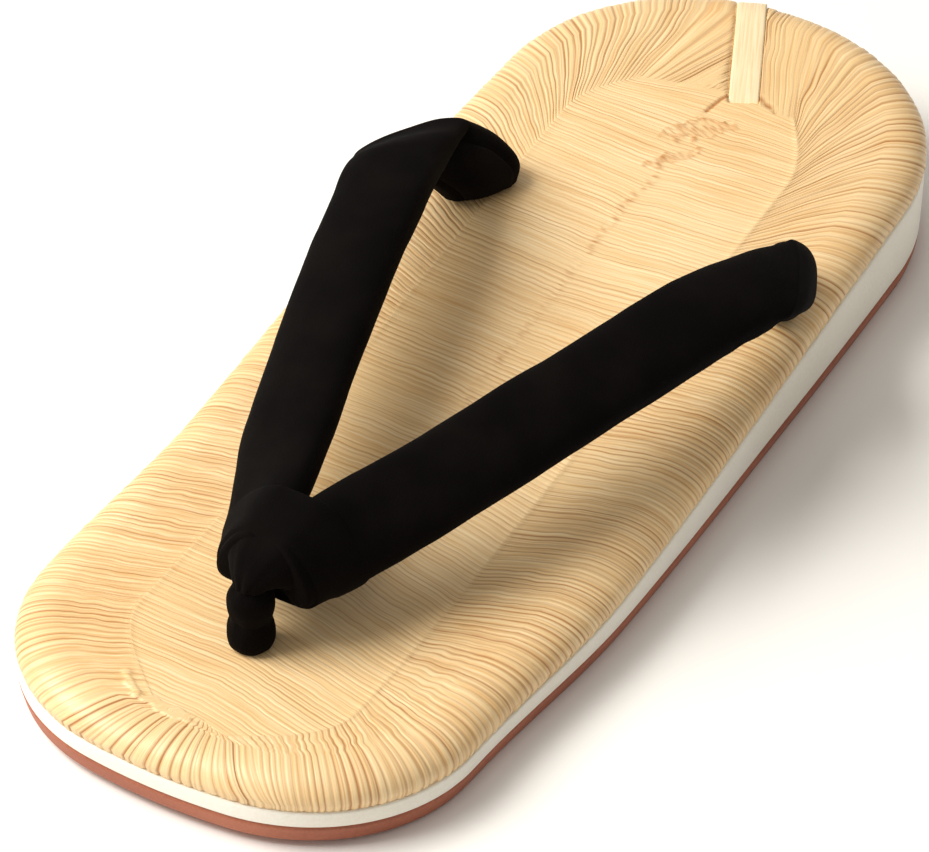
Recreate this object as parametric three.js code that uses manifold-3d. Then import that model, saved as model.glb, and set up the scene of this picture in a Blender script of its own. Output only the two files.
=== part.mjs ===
// A men's thong sandal of the Japanese setta kind, for the right foot.
//
// A rust-coloured rubber outsole carries a white foam wedge with three wells. On the wedge
// lies a foam footbed core inside a woven bamboo-sheath cover that wraps over its edges.
// A velvet Y-strap is held by cords that pass down through holes in the cover and the core
// and end in knots, each drawn up against a washer inside a well. The outsole, glued on
// last, closes the wells.
//
// Millimetres, +Z up. The toe points to -Y and the heel to +Y. The origin lies on the
// ground under the middle of the sole.

import * as THREE from 'three';
import { mergeVertices } from 'three/addons/utils/BufferGeometryUtils.js';
import Module from 'manifold-3d';

const wasm = await Module();
wasm.setup();

// ---------------------------------------------------------------- driving dimensions

// Plan outline: five tangent arcs on each side, then swung sideways to follow a right foot.
const SOLE_LENGTH = 265;
const SOLE_WIDTH = 101.5;
const WIDEST_Y = -15;
const SIDE_RADIUS = 2200;
const TOE_END_RADIUS = 115;
const TOE_CORNER_RADIUS = 39;
const HEEL_END_RADIUS = 90;
const HEEL_CORNER_RADIUS = 47;
const TOE_SWING = -2;
const WAIST_SWING = 0.8;
const TOE_SWING_FROM_TOE = 42;
const WAIST_SWING_FROM_TOE = 92;
const SWING_ENDS_FROM_TOE = 165;

// Heights of the footbed above the underside, where it climbs from one to the other, and
// how far the whole toe lifts off the ground.
const FOREFOOT_HEIGHT = 15.6;
const HEEL_HEIGHT = 28.8;
const RISE_STARTS_FROM_TOE = 47.5;
const RISE_ENDS_FROM_HEEL = 12;
const TOE_SPRING = 2;
const TOE_SPRING_LENGTH = 57;

// Sole layers.
const OUTSOLE_THICKNESS = 4.3;
const OUTSOLE_TOP_INSET = 0.4;
const OUTSOLE_BOTTOM_INSET = 1.5;
const MIDSOLE_INSET = 0.4;
const COVER_DEPTH = 7;
const COVER_WALL = 1.5;
const COVER_ROUND_ACROSS = 9;
const COVER_ROUND_UP = 5.5;
const COVER_RIM_TUCK = 0.5;

// Cords, holes, wells and washers.
const CORD_RADIUS = 1.8;
const LOOP_CORD_RADIUS = 1.2;
const LOOP_SLACK = 0.6;
const HOLE_RADIUS = 2.8;
const WELL_RADIUS = 6.6;
const WELL_RECESS = 2;
const WASHER_RADIUS = 6;
const WASHER_THICKNESS = 1.2;
const KNOT_RADIUS = 5;
const KNOT_HEIGHT = 3.6;

// Toe post, measured from the toe tip and from the middle line.
const POST_FROM_TOE = 35.5;
const POST_X = -1.5;
const POST_HEIGHT = 13;
const POST_BULB_RADIUS = 4.9;
const POST_WAIST_RADIUS = 4.4;
const POST_NECK_RADIUS = 3.6;
const POST_FOOT_TUCK = 0.6;
const POST_BULB_EASE = 0.3;
const CLOTH_THICKNESS = 1;

// Strap: a flattened tube of velvet on padding around the cord.
const STRAP_WIDTH = 19.4;
const STRAP_THICKNESS = 10.6;
const STRAP_REAR_WIDTH = 14;
const STRAP_REAR_THICKNESS = 9.4;
const STRAP_FRONT_WIDTH = 9.8;
const STRAP_FRONT_THICKNESS = 7.8;
const LINING_HALF_ANGLE = 38;
const SEAM_HALF_ANGLE = 3.5;
const REAR_HOLES_FROM_HEEL = 90;
const REAR_HOLE_INSET = 16;
const REAR_CENTRE_X = 5;

// Path of each strap from its rear hole to the toe post. "spread" is the distance from the
// strap's middle line, 1 at the rear hole and 0 at the front end, "along" runs from 0 at
// the rear holes to 1 at the toe post, "rise" is the height above the footbed in
// millimetres, and "tilt" is how many degrees the outer edge of the strap hangs down.
const STRAP_FRONT_HALF_SPACING = 5.1;
const STRAP_PATH = [
  { spread: 1, along: 0, rise: 0.9, tilt: 0 },
  { spread: 1.007, along: 0, rise: 5, tilt: 0 },
  { spread: 1.105, along: 0.021, rise: 12.6, tilt: 5 },
  { spread: 1.11, along: 0.1, rise: 18.6, tilt: 12 },
  { spread: 1.087, along: 0.24, rise: 24.6, tilt: 13 },
  { spread: 0.795, along: 0.455, rise: 24.4, tilt: 14 },
  { spread: 0.364, along: 0.73, rise: 22.4, tilt: 22 },
  { spread: 0.094, along: 0.875, rise: 20.4, tilt: 50 },
  { spread: 0, along: 0.965, rise: 18.8, tilt: 66 },
];

// Wrap: a hood of cloth that leads up from the post's neck over both strap ends.
const WRAP_WALL = 1.3;
const WRAP_LENGTH = 12;
const WRAP_REAR_HALF_WIDTH = 12.9;
const WRAP_REAR_HALF_HEIGHT = 7.4;
const WRAP_NECK_EASE = 0.6;

// Heel strip: the smooth sheath that closes the weave, laid slantwise over the heel edge.
const HEEL_STRIP_WIDTH = 6.5;
const HEEL_STRIP_THICKNESS = 0.6;
const HEEL_STRIP_END_X = -12;
const HEEL_STRIP_START = { x: 7, fromHeel: 42 };
const HEEL_CHANNEL_OVERRUN = 0.1;

const CLEARANCE = 0.3;
const GLUE_LINE = 0.1;

// ---------------------------------------------------------------- plan outline

const HALF_LENGTH = SOLE_LENGTH / 2;
const TOE_END_CENTRE = new THREE.Vector2(0, TOE_END_RADIUS - HALF_LENGTH);
const HEEL_END_CENTRE = new THREE.Vector2(0, HALF_LENGTH - HEEL_END_RADIUS);
const SIDE_CENTRE = new THREE.Vector2(SOLE_WIDTH / 2 - SIDE_RADIUS, WIDEST_Y);

// The centre of a corner arc that is tangent to the side arc and to an end arc.
function cornerCentre(endCentre, endRadius, cornerRadius, towardsHeel) {
  const fromEnd = endRadius - cornerRadius;
  const fromSide = SIDE_RADIUS - cornerRadius;
  const between = endCentre.clone().sub(SIDE_CENTRE);
  const distance = between.length();
  const along = (fromSide ** 2 - fromEnd ** 2 + distance ** 2) / (2 * distance);
  const off = Math.sqrt(fromSide ** 2 - along ** 2) * (towardsHeel ? 1 : -1);
  const unit = between.normalize();
  return new THREE.Vector2(
    SIDE_CENTRE.x + unit.x * along - unit.y * off,
    SIDE_CENTRE.y + unit.y * along + unit.x * off,
  );
}

const TOE_CORNER = cornerCentre(TOE_END_CENTRE, TOE_END_RADIUS, TOE_CORNER_RADIUS, false);
const HEEL_CORNER = cornerCentre(HEEL_END_CENTRE, HEEL_END_RADIUS, HEEL_CORNER_RADIUS, true);

// How far the middle line of the sole lies to the right at a place along it.
function swing(y) {
  const fromToe = y + HALF_LENGTH;
  const { lerp, smoothstep } = THREE.MathUtils;
  const out = smoothstep(fromToe, TOE_SWING_FROM_TOE, WAIST_SWING_FROM_TOE);
  const back = smoothstep(fromToe, WAIST_SWING_FROM_TOE, SWING_ENDS_FROM_TOE);
  return lerp(lerp(TOE_SWING, WAIST_SWING, out), 0, back);
}

function directionAngle(from, to) {
  return Math.atan2(to.y - from.y, to.x - from.x);
}

// Arcs of the right half, in order from toe to heel, each over a range of normal angles.
function halfOutlineArcs() {
  const endToCorner = directionAngle(TOE_END_CENTRE, TOE_CORNER);
  const cornerToSide = directionAngle(SIDE_CENTRE, TOE_CORNER);
  const sideToCorner = directionAngle(SIDE_CENTRE, HEEL_CORNER);
  const cornerToEnd = directionAngle(HEEL_END_CENTRE, HEEL_CORNER);
  const quarter = Math.PI / 2;
  return [
    { centre: TOE_END_CENTRE, radius: TOE_END_RADIUS, from: -quarter, to: endToCorner, steps: 3 },
    { centre: TOE_CORNER, radius: TOE_CORNER_RADIUS, from: endToCorner, to: cornerToSide, steps: 7 },
    { centre: SIDE_CENTRE, radius: SIDE_RADIUS, from: cornerToSide, to: sideToCorner, steps: 10 },
    { centre: HEEL_CORNER, radius: HEEL_CORNER_RADIUS, from: sideToCorner, to: cornerToEnd, steps: 7 },
    { centre: HEEL_END_CENTRE, radius: HEEL_END_RADIUS, from: cornerToEnd, to: quarter, steps: 3 },
  ];
}

// Points of the outline moved inwards by a distance, counter-clockwise from the toe tip.
function outline(inset) {
  const right = [];
  for (const arc of halfOutlineArcs()) {
    for (let step = 0; step < arc.steps; step += 1) {
      const angle = THREE.MathUtils.lerp(arc.from, arc.to, step / arc.steps);
      const reach = arc.radius - inset;
      right.push(new THREE.Vector2(
        arc.centre.x + reach * Math.cos(angle),
        arc.centre.y + reach * Math.sin(angle),
      ));
    }
  }
  const heelTip = new THREE.Vector2(0, HALF_LENGTH - inset);
  const left = right.slice(1).reverse().map((point) => new THREE.Vector2(-point.x, point.y));
  const loop = [...right, heelTip, ...left];
  return loop.map((point) => new THREE.Vector2(point.x + swing(point.y), point.y));
}

// ---------------------------------------------------------------- footbed heights

// The underside: flat on the ground, and lifted towards the toe.
function groundZ(y) {
  const share = 1 - (y + HALF_LENGTH) / TOE_SPRING_LENGTH;
  return TOE_SPRING * Math.max(share, 0) ** 2;
}

function footbedZ(y) {
  const start = RISE_STARTS_FROM_TOE - HALF_LENGTH;
  const end = HALF_LENGTH - RISE_ENDS_FROM_HEEL;
  const rise = THREE.MathUtils.smoothstep(y, start, end);
  return groundZ(y) + THREE.MathUtils.lerp(FOREFOOT_HEIGHT, HEEL_HEIGHT, rise);
}

function outsoleTopZ(y) {
  return groundZ(y) + OUTSOLE_THICKNESS;
}

// The line where the cover ends and the foam wedge shows.
function seamZ(y) {
  return footbedZ(y) - COVER_DEPTH;
}

// ---------------------------------------------------------------- solids from rings

function geometryFrom(points, faces) {
  const geometry = new THREE.BufferGeometry();
  const positions = points.flatMap((point) => [point.x, point.y, point.z]);
  geometry.setAttribute('position', new THREE.Float32BufferAttribute(positions, 3));
  geometry.setIndex(faces.flat());
  return geometry;
}

// A closed solid whose skin is a stack of rings, shut by a fan at each end. A ring is the
// outline at an inset, shrunk towards the middle by scale, at a height for each y.
function layerSolid(rings) {
  const points = [];
  const faces = [];
  const size = outline(0).length;
  for (const ring of rings) {
    for (const point of outline(ring.inset)) {
      const y = point.y * ring.scale;
      points.push(new THREE.Vector3(point.x * ring.scale, y, ring.height(y)));
    }
  }
  for (let level = 0; level + 1 < rings.length; level += 1) {
    for (let step = 0; step < size; step += 1) {
      const next = (step + 1) % size;
      const a = level * size + step;
      const b = level * size + next;
      const c = (level + 1) * size + next;
      const d = (level + 1) * size + step;
      faces.push([a, b, c], [a, c, d]);
    }
  }
  const last = (rings.length - 1) * size;
  const bottom = points.push(new THREE.Vector3(0, 0, rings[0].height(0))) - 1;
  const top = points.push(new THREE.Vector3(0, 0, rings.at(-1).height(0))) - 1;
  for (let step = 0; step < size; step += 1) {
    const next = (step + 1) % size;
    faces.push([bottom, next, step], [top, last + step, last + next]);
  }
  return geometryFrom(points, faces);
}

const SURFACE_SCALES = [0.2, 0.4, 0.6, 0.8];
const FLEXED_SCALES = [0.57, 0.7, 0.85];

// Rings of a face that follows the footbed, from the middle out to an inset.
function faceRings(inset, height, scales = SURFACE_SCALES) {
  return scales.map((scale) => ({ inset, scale, height }));
}

// Rings up the outside of the cover, or of a layer that lies a distance inside it.
function edgeRings(depth) {
  const straight = COVER_DEPTH - COVER_ROUND_UP;
  const rings = [{ inset: COVER_RIM_TUCK + depth, scale: 1, height: (y) => seamZ(y) }];
  for (const degrees of [0, 30, 60, 90]) {
    const angle = THREE.MathUtils.degToRad(degrees);
    const across = (COVER_ROUND_ACROSS - depth) * (1 - Math.cos(angle));
    const up = straight + (COVER_ROUND_UP - depth) * Math.sin(angle);
    rings.push({ inset: depth + across, scale: 1, height: (y) => seamZ(y) + up });
  }
  return rings;
}

// ---------------------------------------------------------------- solids along a path

// A closed solid through a list of stations. Each station has a centre, two directions and
// a section, whose loops are lists of 2D points: the outer one first, then any holes.
function sweepSolid(stations) {
  const points = [];
  const faces = [];
  const loops = stations[0].section.map((loop) => loop.length);
  const perStation = loops.reduce((sum, count) => sum + count, 0);
  for (const station of stations) {
    for (const point of station.section.flat()) {
      points.push(station.centre.clone()
        .addScaledVector(station.across, point.x)
        .addScaledVector(station.up, point.y));
    }
  }
  for (let index = 0; index + 1 < stations.length; index += 1) {
    let start = index * perStation;
    for (const count of loops) {
      for (let step = 0; step < count; step += 1) {
        const next = (step + 1) % count;
        const a = start + step;
        const b = start + next;
        faces.push([a, b, b + perStation], [a, b + perStation, a + perStation]);
      }
      start += count;
    }
  }
  const last = (stations.length - 1) * perStation;
  const [firstOuter, ...firstHoles] = stations[0].section;
  for (const [a, b, c] of THREE.ShapeUtils.triangulateShape(firstOuter, firstHoles)) {
    faces.push([a, c, b]);
  }
  const [lastOuter, ...lastHoles] = stations.at(-1).section;
  for (const [a, b, c] of THREE.ShapeUtils.triangulateShape(lastOuter, lastHoles)) {
    faces.push([last + a, last + b, last + c]);
  }
  return geometryFrom(points, faces);
}

// Points of an ellipse between two angles in degrees; from above to below runs clockwise.
function ellipseArc(halfWidth, halfHeight, from, to, steps, closed = false) {
  const points = [];
  const count = closed ? steps : steps + 1;
  for (let step = 0; step < count; step += 1) {
    const angle = THREE.MathUtils.degToRad(THREE.MathUtils.lerp(from, to, step / steps));
    points.push(new THREE.Vector2(halfWidth * Math.cos(angle), halfHeight * Math.sin(angle)));
  }
  return points;
}

function ellipse(halfWidth, halfHeight, steps) {
  return ellipseArc(halfWidth, halfHeight, 0, 360, steps, true);
}

function ellipseHole(halfWidth, halfHeight, steps) {
  return ellipseArc(halfWidth, halfHeight, 360, 0, steps, true);
}

// A round cord through a list of points, its frame carried along without twist.
function cordSolid(points, radius) {
  let across = new THREE.Vector3(1, 0, 0);
  const stations = points.map((centre, index) => {
    const before = points[Math.max(index - 1, 0)];
    const after = points[Math.min(index + 1, points.length - 1)];
    const forward = after.clone().sub(before).normalize();
    across = across.clone().addScaledVector(forward, -across.dot(forward)).normalize();
    return { centre, across, up: forward.clone().cross(across), section: [ellipse(radius, radius, 8)] };
  });
  return sweepSolid(stations);
}

// ---------------------------------------------------------------- joining and cutting

function toSolid(geometry) {
  const bare = geometry.clone();
  bare.deleteAttribute('normal');
  bare.deleteAttribute('uv');
  const merged = mergeVertices(bare, 1e-4);
  return new wasm.Manifold(new wasm.Mesh({
    numProp: 3,
    vertProperties: new Float32Array(merged.attributes.position.array),
    triVerts: new Uint32Array(merged.index.array),
  }));
}

function toGeometry(solid) {
  const mesh = solid.getMesh();
  const geometry = new THREE.BufferGeometry();
  geometry.setAttribute('position', new THREE.Float32BufferAttribute(mesh.vertProperties, 3));
  geometry.setIndex(Array.from(mesh.triVerts));
  return geometry;
}

function cut(geometry, tools) {
  const rest = tools.reduce((solid, tool) => solid.subtract(toSolid(tool)), toSolid(geometry));
  return toGeometry(rest);
}

function join(geometries) {
  const [first, ...others] = geometries.map(toSolid);
  return toGeometry(others.reduce((solid, other) => solid.add(other), first));
}

function post(x, y, radius, bottom, top, sides = 20) {
  const geometry = new THREE.CylinderGeometry(radius, radius, top - bottom, sides);
  geometry.rotateX(Math.PI / 2);
  geometry.translate(x, y, (top + bottom) / 2);
  return geometry;
}

// ---------------------------------------------------------------- where the strap is held

const TOE_POST = { x: POST_X, y: POST_FROM_TOE - HALF_LENGTH };
const REAR_Y = HALF_LENGTH - REAR_HOLES_FROM_HEEL;
const REAR_HALF_SPACING = SOLE_WIDTH / 2 - REAR_HOLE_INSET;
const SIDES = { left: -1, right: 1 };

function rearHole(side) {
  return { x: REAR_CENTRE_X + side * REAR_HALF_SPACING, y: REAR_Y };
}

const ANCHORS = [TOE_POST, rearHole(SIDES.left), rearHole(SIDES.right)];

const ABOVE_ALL = HEEL_HEIGHT + COVER_DEPTH;

function holeCutters(radius) {
  return ANCHORS.map((at) => post(at.x, at.y, radius, 0, ABOVE_ALL));
}

// The wells go on into the underside of the core, up to a level ceiling.
function wellCeilingZ(at) {
  return seamZ(at.y) + WELL_RECESS;
}

function recessCutters() {
  return ANCHORS.map((at) => post(at.x, at.y, WELL_RADIUS, 0, wellCeilingZ(at)));
}

// ---------------------------------------------------------------- sole layers

function outsoleGeometry() {
  return layerSolid([
    ...faceRings(OUTSOLE_BOTTOM_INSET, groundZ, FLEXED_SCALES),
    { inset: OUTSOLE_BOTTOM_INSET, scale: 1, height: groundZ },
    { inset: OUTSOLE_TOP_INSET, scale: 1, height: outsoleTopZ },
    ...faceRings(OUTSOLE_TOP_INSET, outsoleTopZ, FLEXED_SCALES).reverse(),
  ]);
}

function midsoleGeometry() {
  const top = (y) => seamZ(y) - CLEARANCE;
  const bottom = (y) => outsoleTopZ(y) + GLUE_LINE;
  const solid = layerSolid([
    ...faceRings(MIDSOLE_INSET, bottom, FLEXED_SCALES),
    { inset: MIDSOLE_INSET, scale: 1, height: bottom },
    { inset: MIDSOLE_INSET, scale: 1, height: top },
    ...faceRings(MIDSOLE_INSET, top).reverse(),
  ]);
  return cut(solid, holeCutters(WELL_RADIUS));
}

function coreGeometry() {
  const depth = COVER_WALL + CLEARANCE;
  const rings = edgeRings(depth);
  const underside = faceRings(rings[0].inset, seamZ);
  const upper = faceRings(rings.at(-1).inset, rings.at(-1).height).reverse();
  const solid = layerSolid([...underside, ...rings, ...upper]);
  return cut(solid, [...holeCutters(HOLE_RADIUS), ...recessCutters()]);
}

function coverGeometry() {
  const inner = edgeRings(COVER_WALL);
  const outer = edgeRings(0);
  const ceiling = faceRings(inner.at(-1).inset, inner.at(-1).height);
  const footbed = faceRings(outer.at(-1).inset, outer.at(-1).height).reverse();
  const solid = layerSolid([...ceiling, ...inner.reverse(), ...outer, ...footbed]);
  return cut(solid, [...holeCutters(HOLE_RADIUS), heelStripChannel()]);
}

// The middle line of the heel strip, just below the cover's surface: up from under the heel
// edge, over the rounding and slantwise across the footbed.
function heelStripPath() {
  const sink = HEEL_STRIP_THICKNESS / 2;
  const heelAngle = Math.PI / 2 - Math.asin(HEEL_STRIP_END_X / HEEL_END_RADIUS);
  const outward = new THREE.Vector3(Math.cos(heelAngle), Math.sin(heelAngle), 0);
  const points = [];
  for (let degrees = 0; degrees <= 90; degrees += 15) {
    const angle = THREE.MathUtils.degToRad(degrees);
    const across = (COVER_ROUND_ACROSS - sink) * Math.cos(angle);
    const up = COVER_DEPTH - COVER_ROUND_UP + (COVER_ROUND_UP - sink) * Math.sin(angle);
    const reach = HEEL_END_RADIUS - COVER_ROUND_ACROSS + across;
    const y = HEEL_END_CENTRE.y + outward.y * reach;
    points.push(new THREE.Vector3(outward.x * reach, y, seamZ(y) + up));
  }
  const startY = HALF_LENGTH - HEEL_STRIP_START.fromHeel;
  const start = new THREE.Vector3(HEEL_STRIP_START.x, startY, 0);
  const edge = points.at(-1);
  for (const share of [0.34, 0.67, 1]) {
    const point = edge.clone().lerp(start, share);
    point.z = footbedZ(point.y) - sink;
    points.push(point);
  }
  return points;
}

// A strip along that line, from one height to another about its middle.
function heelStripSolid(points, halfWidth, low, high) {
  const section = [
    new THREE.Vector2(-halfWidth, low),
    new THREE.Vector2(halfWidth, low),
    new THREE.Vector2(halfWidth, high),
    new THREE.Vector2(-halfWidth, high),
  ];
  const start = points.at(-1);
  const edge = points.at(-2);
  const slant = start.clone().sub(edge).setZ(0).normalize();
  const slantAcross = new THREE.Vector3(-slant.y, slant.x, 0);
  const heelEdgeAlong = new THREE.Vector3(edge.y - HEEL_END_CENTRE.y, -edge.x, 0).normalize();
  const turned = (index) => THREE.MathUtils.smoothstep(index, 0, points.length - 3);
  const reference = (index) => heelEdgeAlong.clone().lerp(slantAcross, turned(index));
  const frames = framesAlong(points, reference, () => 0);
  return sweepSolid(frames.map((frame) => ({ ...frame, section: [section] })));
}

function heelStripGeometry() {
  const half = HEEL_STRIP_THICKNESS / 2;
  return heelStripSolid(heelStripPath(), HEEL_STRIP_WIDTH / 2, -half, half);
}

// The channel for the strip, open at the rim and outwards, a little larger all round.
function heelStripChannel() {
  const points = heelStripPath();
  const below = points[0].clone().setZ(points[0].z - COVER_DEPTH);
  const beyond = points.at(-1).clone().lerp(points.at(-2), -HEEL_CHANNEL_OVERRUN);
  const path = [below, ...points.slice(0, -1), beyond];
  const halfWidth = HEEL_STRIP_WIDTH / 2 + CLEARANCE;
  const half = HEEL_STRIP_THICKNESS / 2;
  return heelStripSolid(path, halfWidth, -half - CLEARANCE, half + COVER_DEPTH);
}

// ---------------------------------------------------------------- strap frames

// A frame at each point: the way forward, a direction across that stays near a reference,
// and the direction that completes the two. The tilt turns the frame about the way forward.
function framesAlong(points, referenceAt, tiltAt) {
  return points.map((centre, index) => {
    const before = points[Math.max(index - 1, 0)];
    const after = points[Math.min(index + 1, points.length - 1)];
    const forward = after.clone().sub(before).normalize();
    const reference = referenceAt(index);
    const across = reference.clone()
      .addScaledVector(forward, -reference.dot(forward))
      .normalize()
      .applyAxisAngle(forward, tiltAt(index));
    const up = forward.clone().cross(across);
    return { centre, across, up };
  });
}

const STRAP_STEPS = 27;
const REAR_CROWDING = 1.3;
const BRIDGE_STEPS = 8;

// Stations of one strap from its rear hole to its front end, closer together at the bend.
function strapStations(side) {
  const knots = STRAP_PATH.map((knot) => {
    const y = THREE.MathUtils.lerp(REAR_Y, TOE_POST.y, knot.along);
    const middle = THREE.MathUtils.lerp(REAR_CENTRE_X, POST_X, knot.along);
    const spread = THREE.MathUtils.lerp(STRAP_FRONT_HALF_SPACING, REAR_HALF_SPACING, knot.spread);
    const x = middle + side * spread;
    return new THREE.Vector3(x, y, footbedZ(y) + knot.rise);
  });
  const path = new THREE.CatmullRomCurve3(knots);
  const tilts = new THREE.CatmullRomCurve3(
    STRAP_PATH.map((knot) => new THREE.Vector3(knot.tilt, 0, 0)),
  );
  const shares = [];
  for (let step = 0; step <= STRAP_STEPS; step += 1) {
    shares.push((step / STRAP_STEPS) ** REAR_CROWDING);
  }
  const points = shares.map((share) => path.getPointAt(share));
  const tilt = (index) => {
    const along = path.getUtoTmapping(shares[index]);
    return -side * THREE.MathUtils.degToRad(tilts.getPoint(along).x);
  };
  const frames = framesAlong(points, () => new THREE.Vector3(1, 0, 0), tilt);
  return frames.map((frame, index) => ({ ...frame, share: shares[index] }));
}

// Half width and half thickness of the strap at a share of its length.
function strapHalfSize(share) {
  const rear = THREE.MathUtils.smoothstep(share, 0, 0.3);
  const front = THREE.MathUtils.smoothstep(share, 0.72, 1);
  const width = THREE.MathUtils.lerp(
    THREE.MathUtils.lerp(STRAP_REAR_WIDTH, STRAP_WIDTH, rear),
    STRAP_FRONT_WIDTH,
    front,
  );
  const thickness = THREE.MathUtils.lerp(
    THREE.MathUtils.lerp(STRAP_REAR_THICKNESS, STRAP_THICKNESS, rear),
    STRAP_FRONT_THICKNESS,
    front,
  );
  return { width: width / 2, thickness: thickness / 2 };
}

function strapSolid(side, sectionAt) {
  return sweepSolid(strapStations(side).map((station) => ({
    ...station,
    section: sectionAt(strapHalfSize(station.share)),
  })));
}

const UNDERSIDE = 270;

// An arc of cloth around the strap: the outer face one way, the inner face back.
function clothSection(half, from, to, steps) {
  const outer = ellipseArc(half.width, half.thickness, from, to, steps);
  const innerWidth = half.width - CLOTH_THICKNESS;
  const innerThickness = half.thickness - CLOTH_THICKNESS;
  const inner = ellipseArc(innerWidth, innerThickness, to, from, steps);
  return [[...outer, ...inner]];
}

function strapCoverGeometry(side) {
  const opening = LINING_HALF_ANGLE + SEAM_HALF_ANGLE;
  const from = UNDERSIDE - 360 + opening;
  const to = UNDERSIDE - opening;
  return strapSolid(side, (half) => clothSection(half, from, to, 10));
}

function strapLiningGeometry(side) {
  const from = UNDERSIDE - LINING_HALF_ANGLE;
  const to = UNDERSIDE + LINING_HALF_ANGLE;
  return strapSolid(side, (half) => clothSection(half, from, to, 3));
}

function strapPaddingGeometry(side) {
  const inset = CLOTH_THICKNESS + CLEARANCE;
  const bore = CORD_RADIUS + CLEARANCE;
  return strapSolid(side, (half) => [
    ellipse(half.width - inset, half.thickness - inset, 12),
    ellipseHole(bore, bore, 8),
  ]);
}

// The whole strap, swollen by a margin, for cutting the wrap to fit it.
function strapBody(side, margin) {
  return strapSolid(side, (half) => [
    ellipse(half.width + margin, half.thickness + margin, 16),
  ]);
}

// ---------------------------------------------------------------- cords, knots, washers

// Where a washer bears: just under the ceiling of its well.
function washerZ(at) {
  return wellCeilingZ(at) - CLEARANCE - WASHER_THICKNESS / 2;
}

function knotTopZ(at) {
  return washerZ(at) - WASHER_THICKNESS / 2 - CLEARANCE;
}

// A flattened round lump, the outer shape of an overhand knot.
function knotSolid(at) {
  const lump = new THREE.SphereGeometry(KNOT_RADIUS, 12, 6);
  lump.scale(1, 1, KNOT_HEIGHT / (2 * KNOT_RADIUS));
  lump.translate(at.x, at.y, knotTopZ(at) - KNOT_HEIGHT / 2);
  return lump;
}

function washerMesh(name, at) {
  const ring = new THREE.Shape(ellipse(WASHER_RADIUS, WASHER_RADIUS, 24));
  ring.holes.push(new THREE.Path(ellipseHole(HOLE_RADIUS, HOLE_RADIUS, 12)));
  const options = { depth: WASHER_THICKNESS, bevelEnabled: false };
  const geometry = new THREE.ExtrudeGeometry(ring, options);
  geometry.translate(0, 0, -WASHER_THICKNESS / 2);
  const mesh = new THREE.Mesh(geometry, finish(0x8a6a44, 0.8, 0));
  mesh.name = name;
  mesh.position.set(at.x, at.y, washerZ(at));
  return mesh;
}

const LOOP_RADIUS = CORD_RADIUS + LOOP_SLACK + LOOP_CORD_RADIUS;
const LOOP_CENTRE = new THREE.Vector3(
  TOE_POST.x,
  TOE_POST.y,
  footbedZ(TOE_POST.y) + STRAP_PATH.at(-1).rise,
);

// One cord runs from the left knot through the left strap, through the loop above the toe
// post, and back through the right strap to the right knot.
function strapCordPoints() {
  const run = (side) => {
    const at = rearHole(side);
    return [
      new THREE.Vector3(at.x, at.y, knotTopZ(at) - KNOT_HEIGHT / 2),
      new THREE.Vector3(at.x, at.y, footbedZ(at.y)),
      ...strapStations(side).map((station) => station.centre),
    ];
  };
  const left = run(SIDES.left);
  const right = run(SIDES.right).reverse();
  const bridge = new THREE.CatmullRomCurve3([...left.slice(-2), LOOP_CENTRE, ...right.slice(0, 2)]);
  const around = [];
  for (let step = 1; step < BRIDGE_STEPS; step += 1) {
    around.push(bridge.getPoint(0.25 + 0.5 * (step / BRIDGE_STEPS)));
  }
  return [...left, ...around, ...right];
}

function strapCordGeometry() {
  const cord = cordSolid(strapCordPoints(), CORD_RADIUS);
  return join([cord, knotSolid(rearHole(SIDES.left)), knotSolid(rearHole(SIDES.right))]);
}

// The toe cord: a knot, a straight leg up through the post, and a loop round the strap cord.
function toeCordGeometry() {
  const loop = new THREE.TorusGeometry(LOOP_RADIUS, LOOP_CORD_RADIUS, 6, 14);
  loop.rotateY(Math.PI / 2);
  loop.translate(LOOP_CENTRE.x, LOOP_CENTRE.y, LOOP_CENTRE.z);
  const bottom = knotTopZ(TOE_POST) - KNOT_HEIGHT / 2;
  const top = LOOP_CENTRE.z - LOOP_RADIUS;
  const leg = post(TOE_POST.x, TOE_POST.y, CORD_RADIUS, bottom, top, 12);
  return join([knotSolid(TOE_POST), leg, loop]);
}

// ---------------------------------------------------------------- toe post and wrap

const POST_BASE_Z = footbedZ(TOE_POST.y) + CLEARANCE;

// Radius of the velvet post at heights above the footbed: two swellings and a neck.
const POST_PROFILE = [
  { rise: 0, radius: POST_WAIST_RADIUS - POST_FOOT_TUCK },
  { rise: 1.5, radius: POST_BULB_RADIUS - POST_BULB_EASE },
  { rise: 4, radius: POST_BULB_RADIUS },
  { rise: 6.5, radius: POST_WAIST_RADIUS },
  { rise: 9.5, radius: POST_BULB_RADIUS - POST_BULB_EASE },
  { rise: 12, radius: POST_WAIST_RADIUS },
  { rise: POST_HEIGHT, radius: POST_NECK_RADIUS },
];

function latheSolid(outer, inner) {
  const profile = [...outer, ...inner.reverse(), outer[0]];
  const geometry = new THREE.LatheGeometry(profile, 16);
  geometry.rotateX(Math.PI / 2);
  geometry.translate(TOE_POST.x, TOE_POST.y, POST_BASE_Z);
  return geometry;
}

function postRing(offset) {
  return POST_PROFILE.map((level) => new THREE.Vector2(level.radius - offset, level.rise));
}

function toePostCoverGeometry() {
  return latheSolid(postRing(0), postRing(CLOTH_THICKNESS));
}

function toePostPaddingGeometry() {
  const bore = CORD_RADIUS + CLEARANCE;
  const outer = postRing(CLOTH_THICKNESS + CLEARANCE).slice(0, -1);
  const inner = outer.map((point) => new THREE.Vector2(bore, point.y));
  return latheSolid(outer, inner);
}

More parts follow.
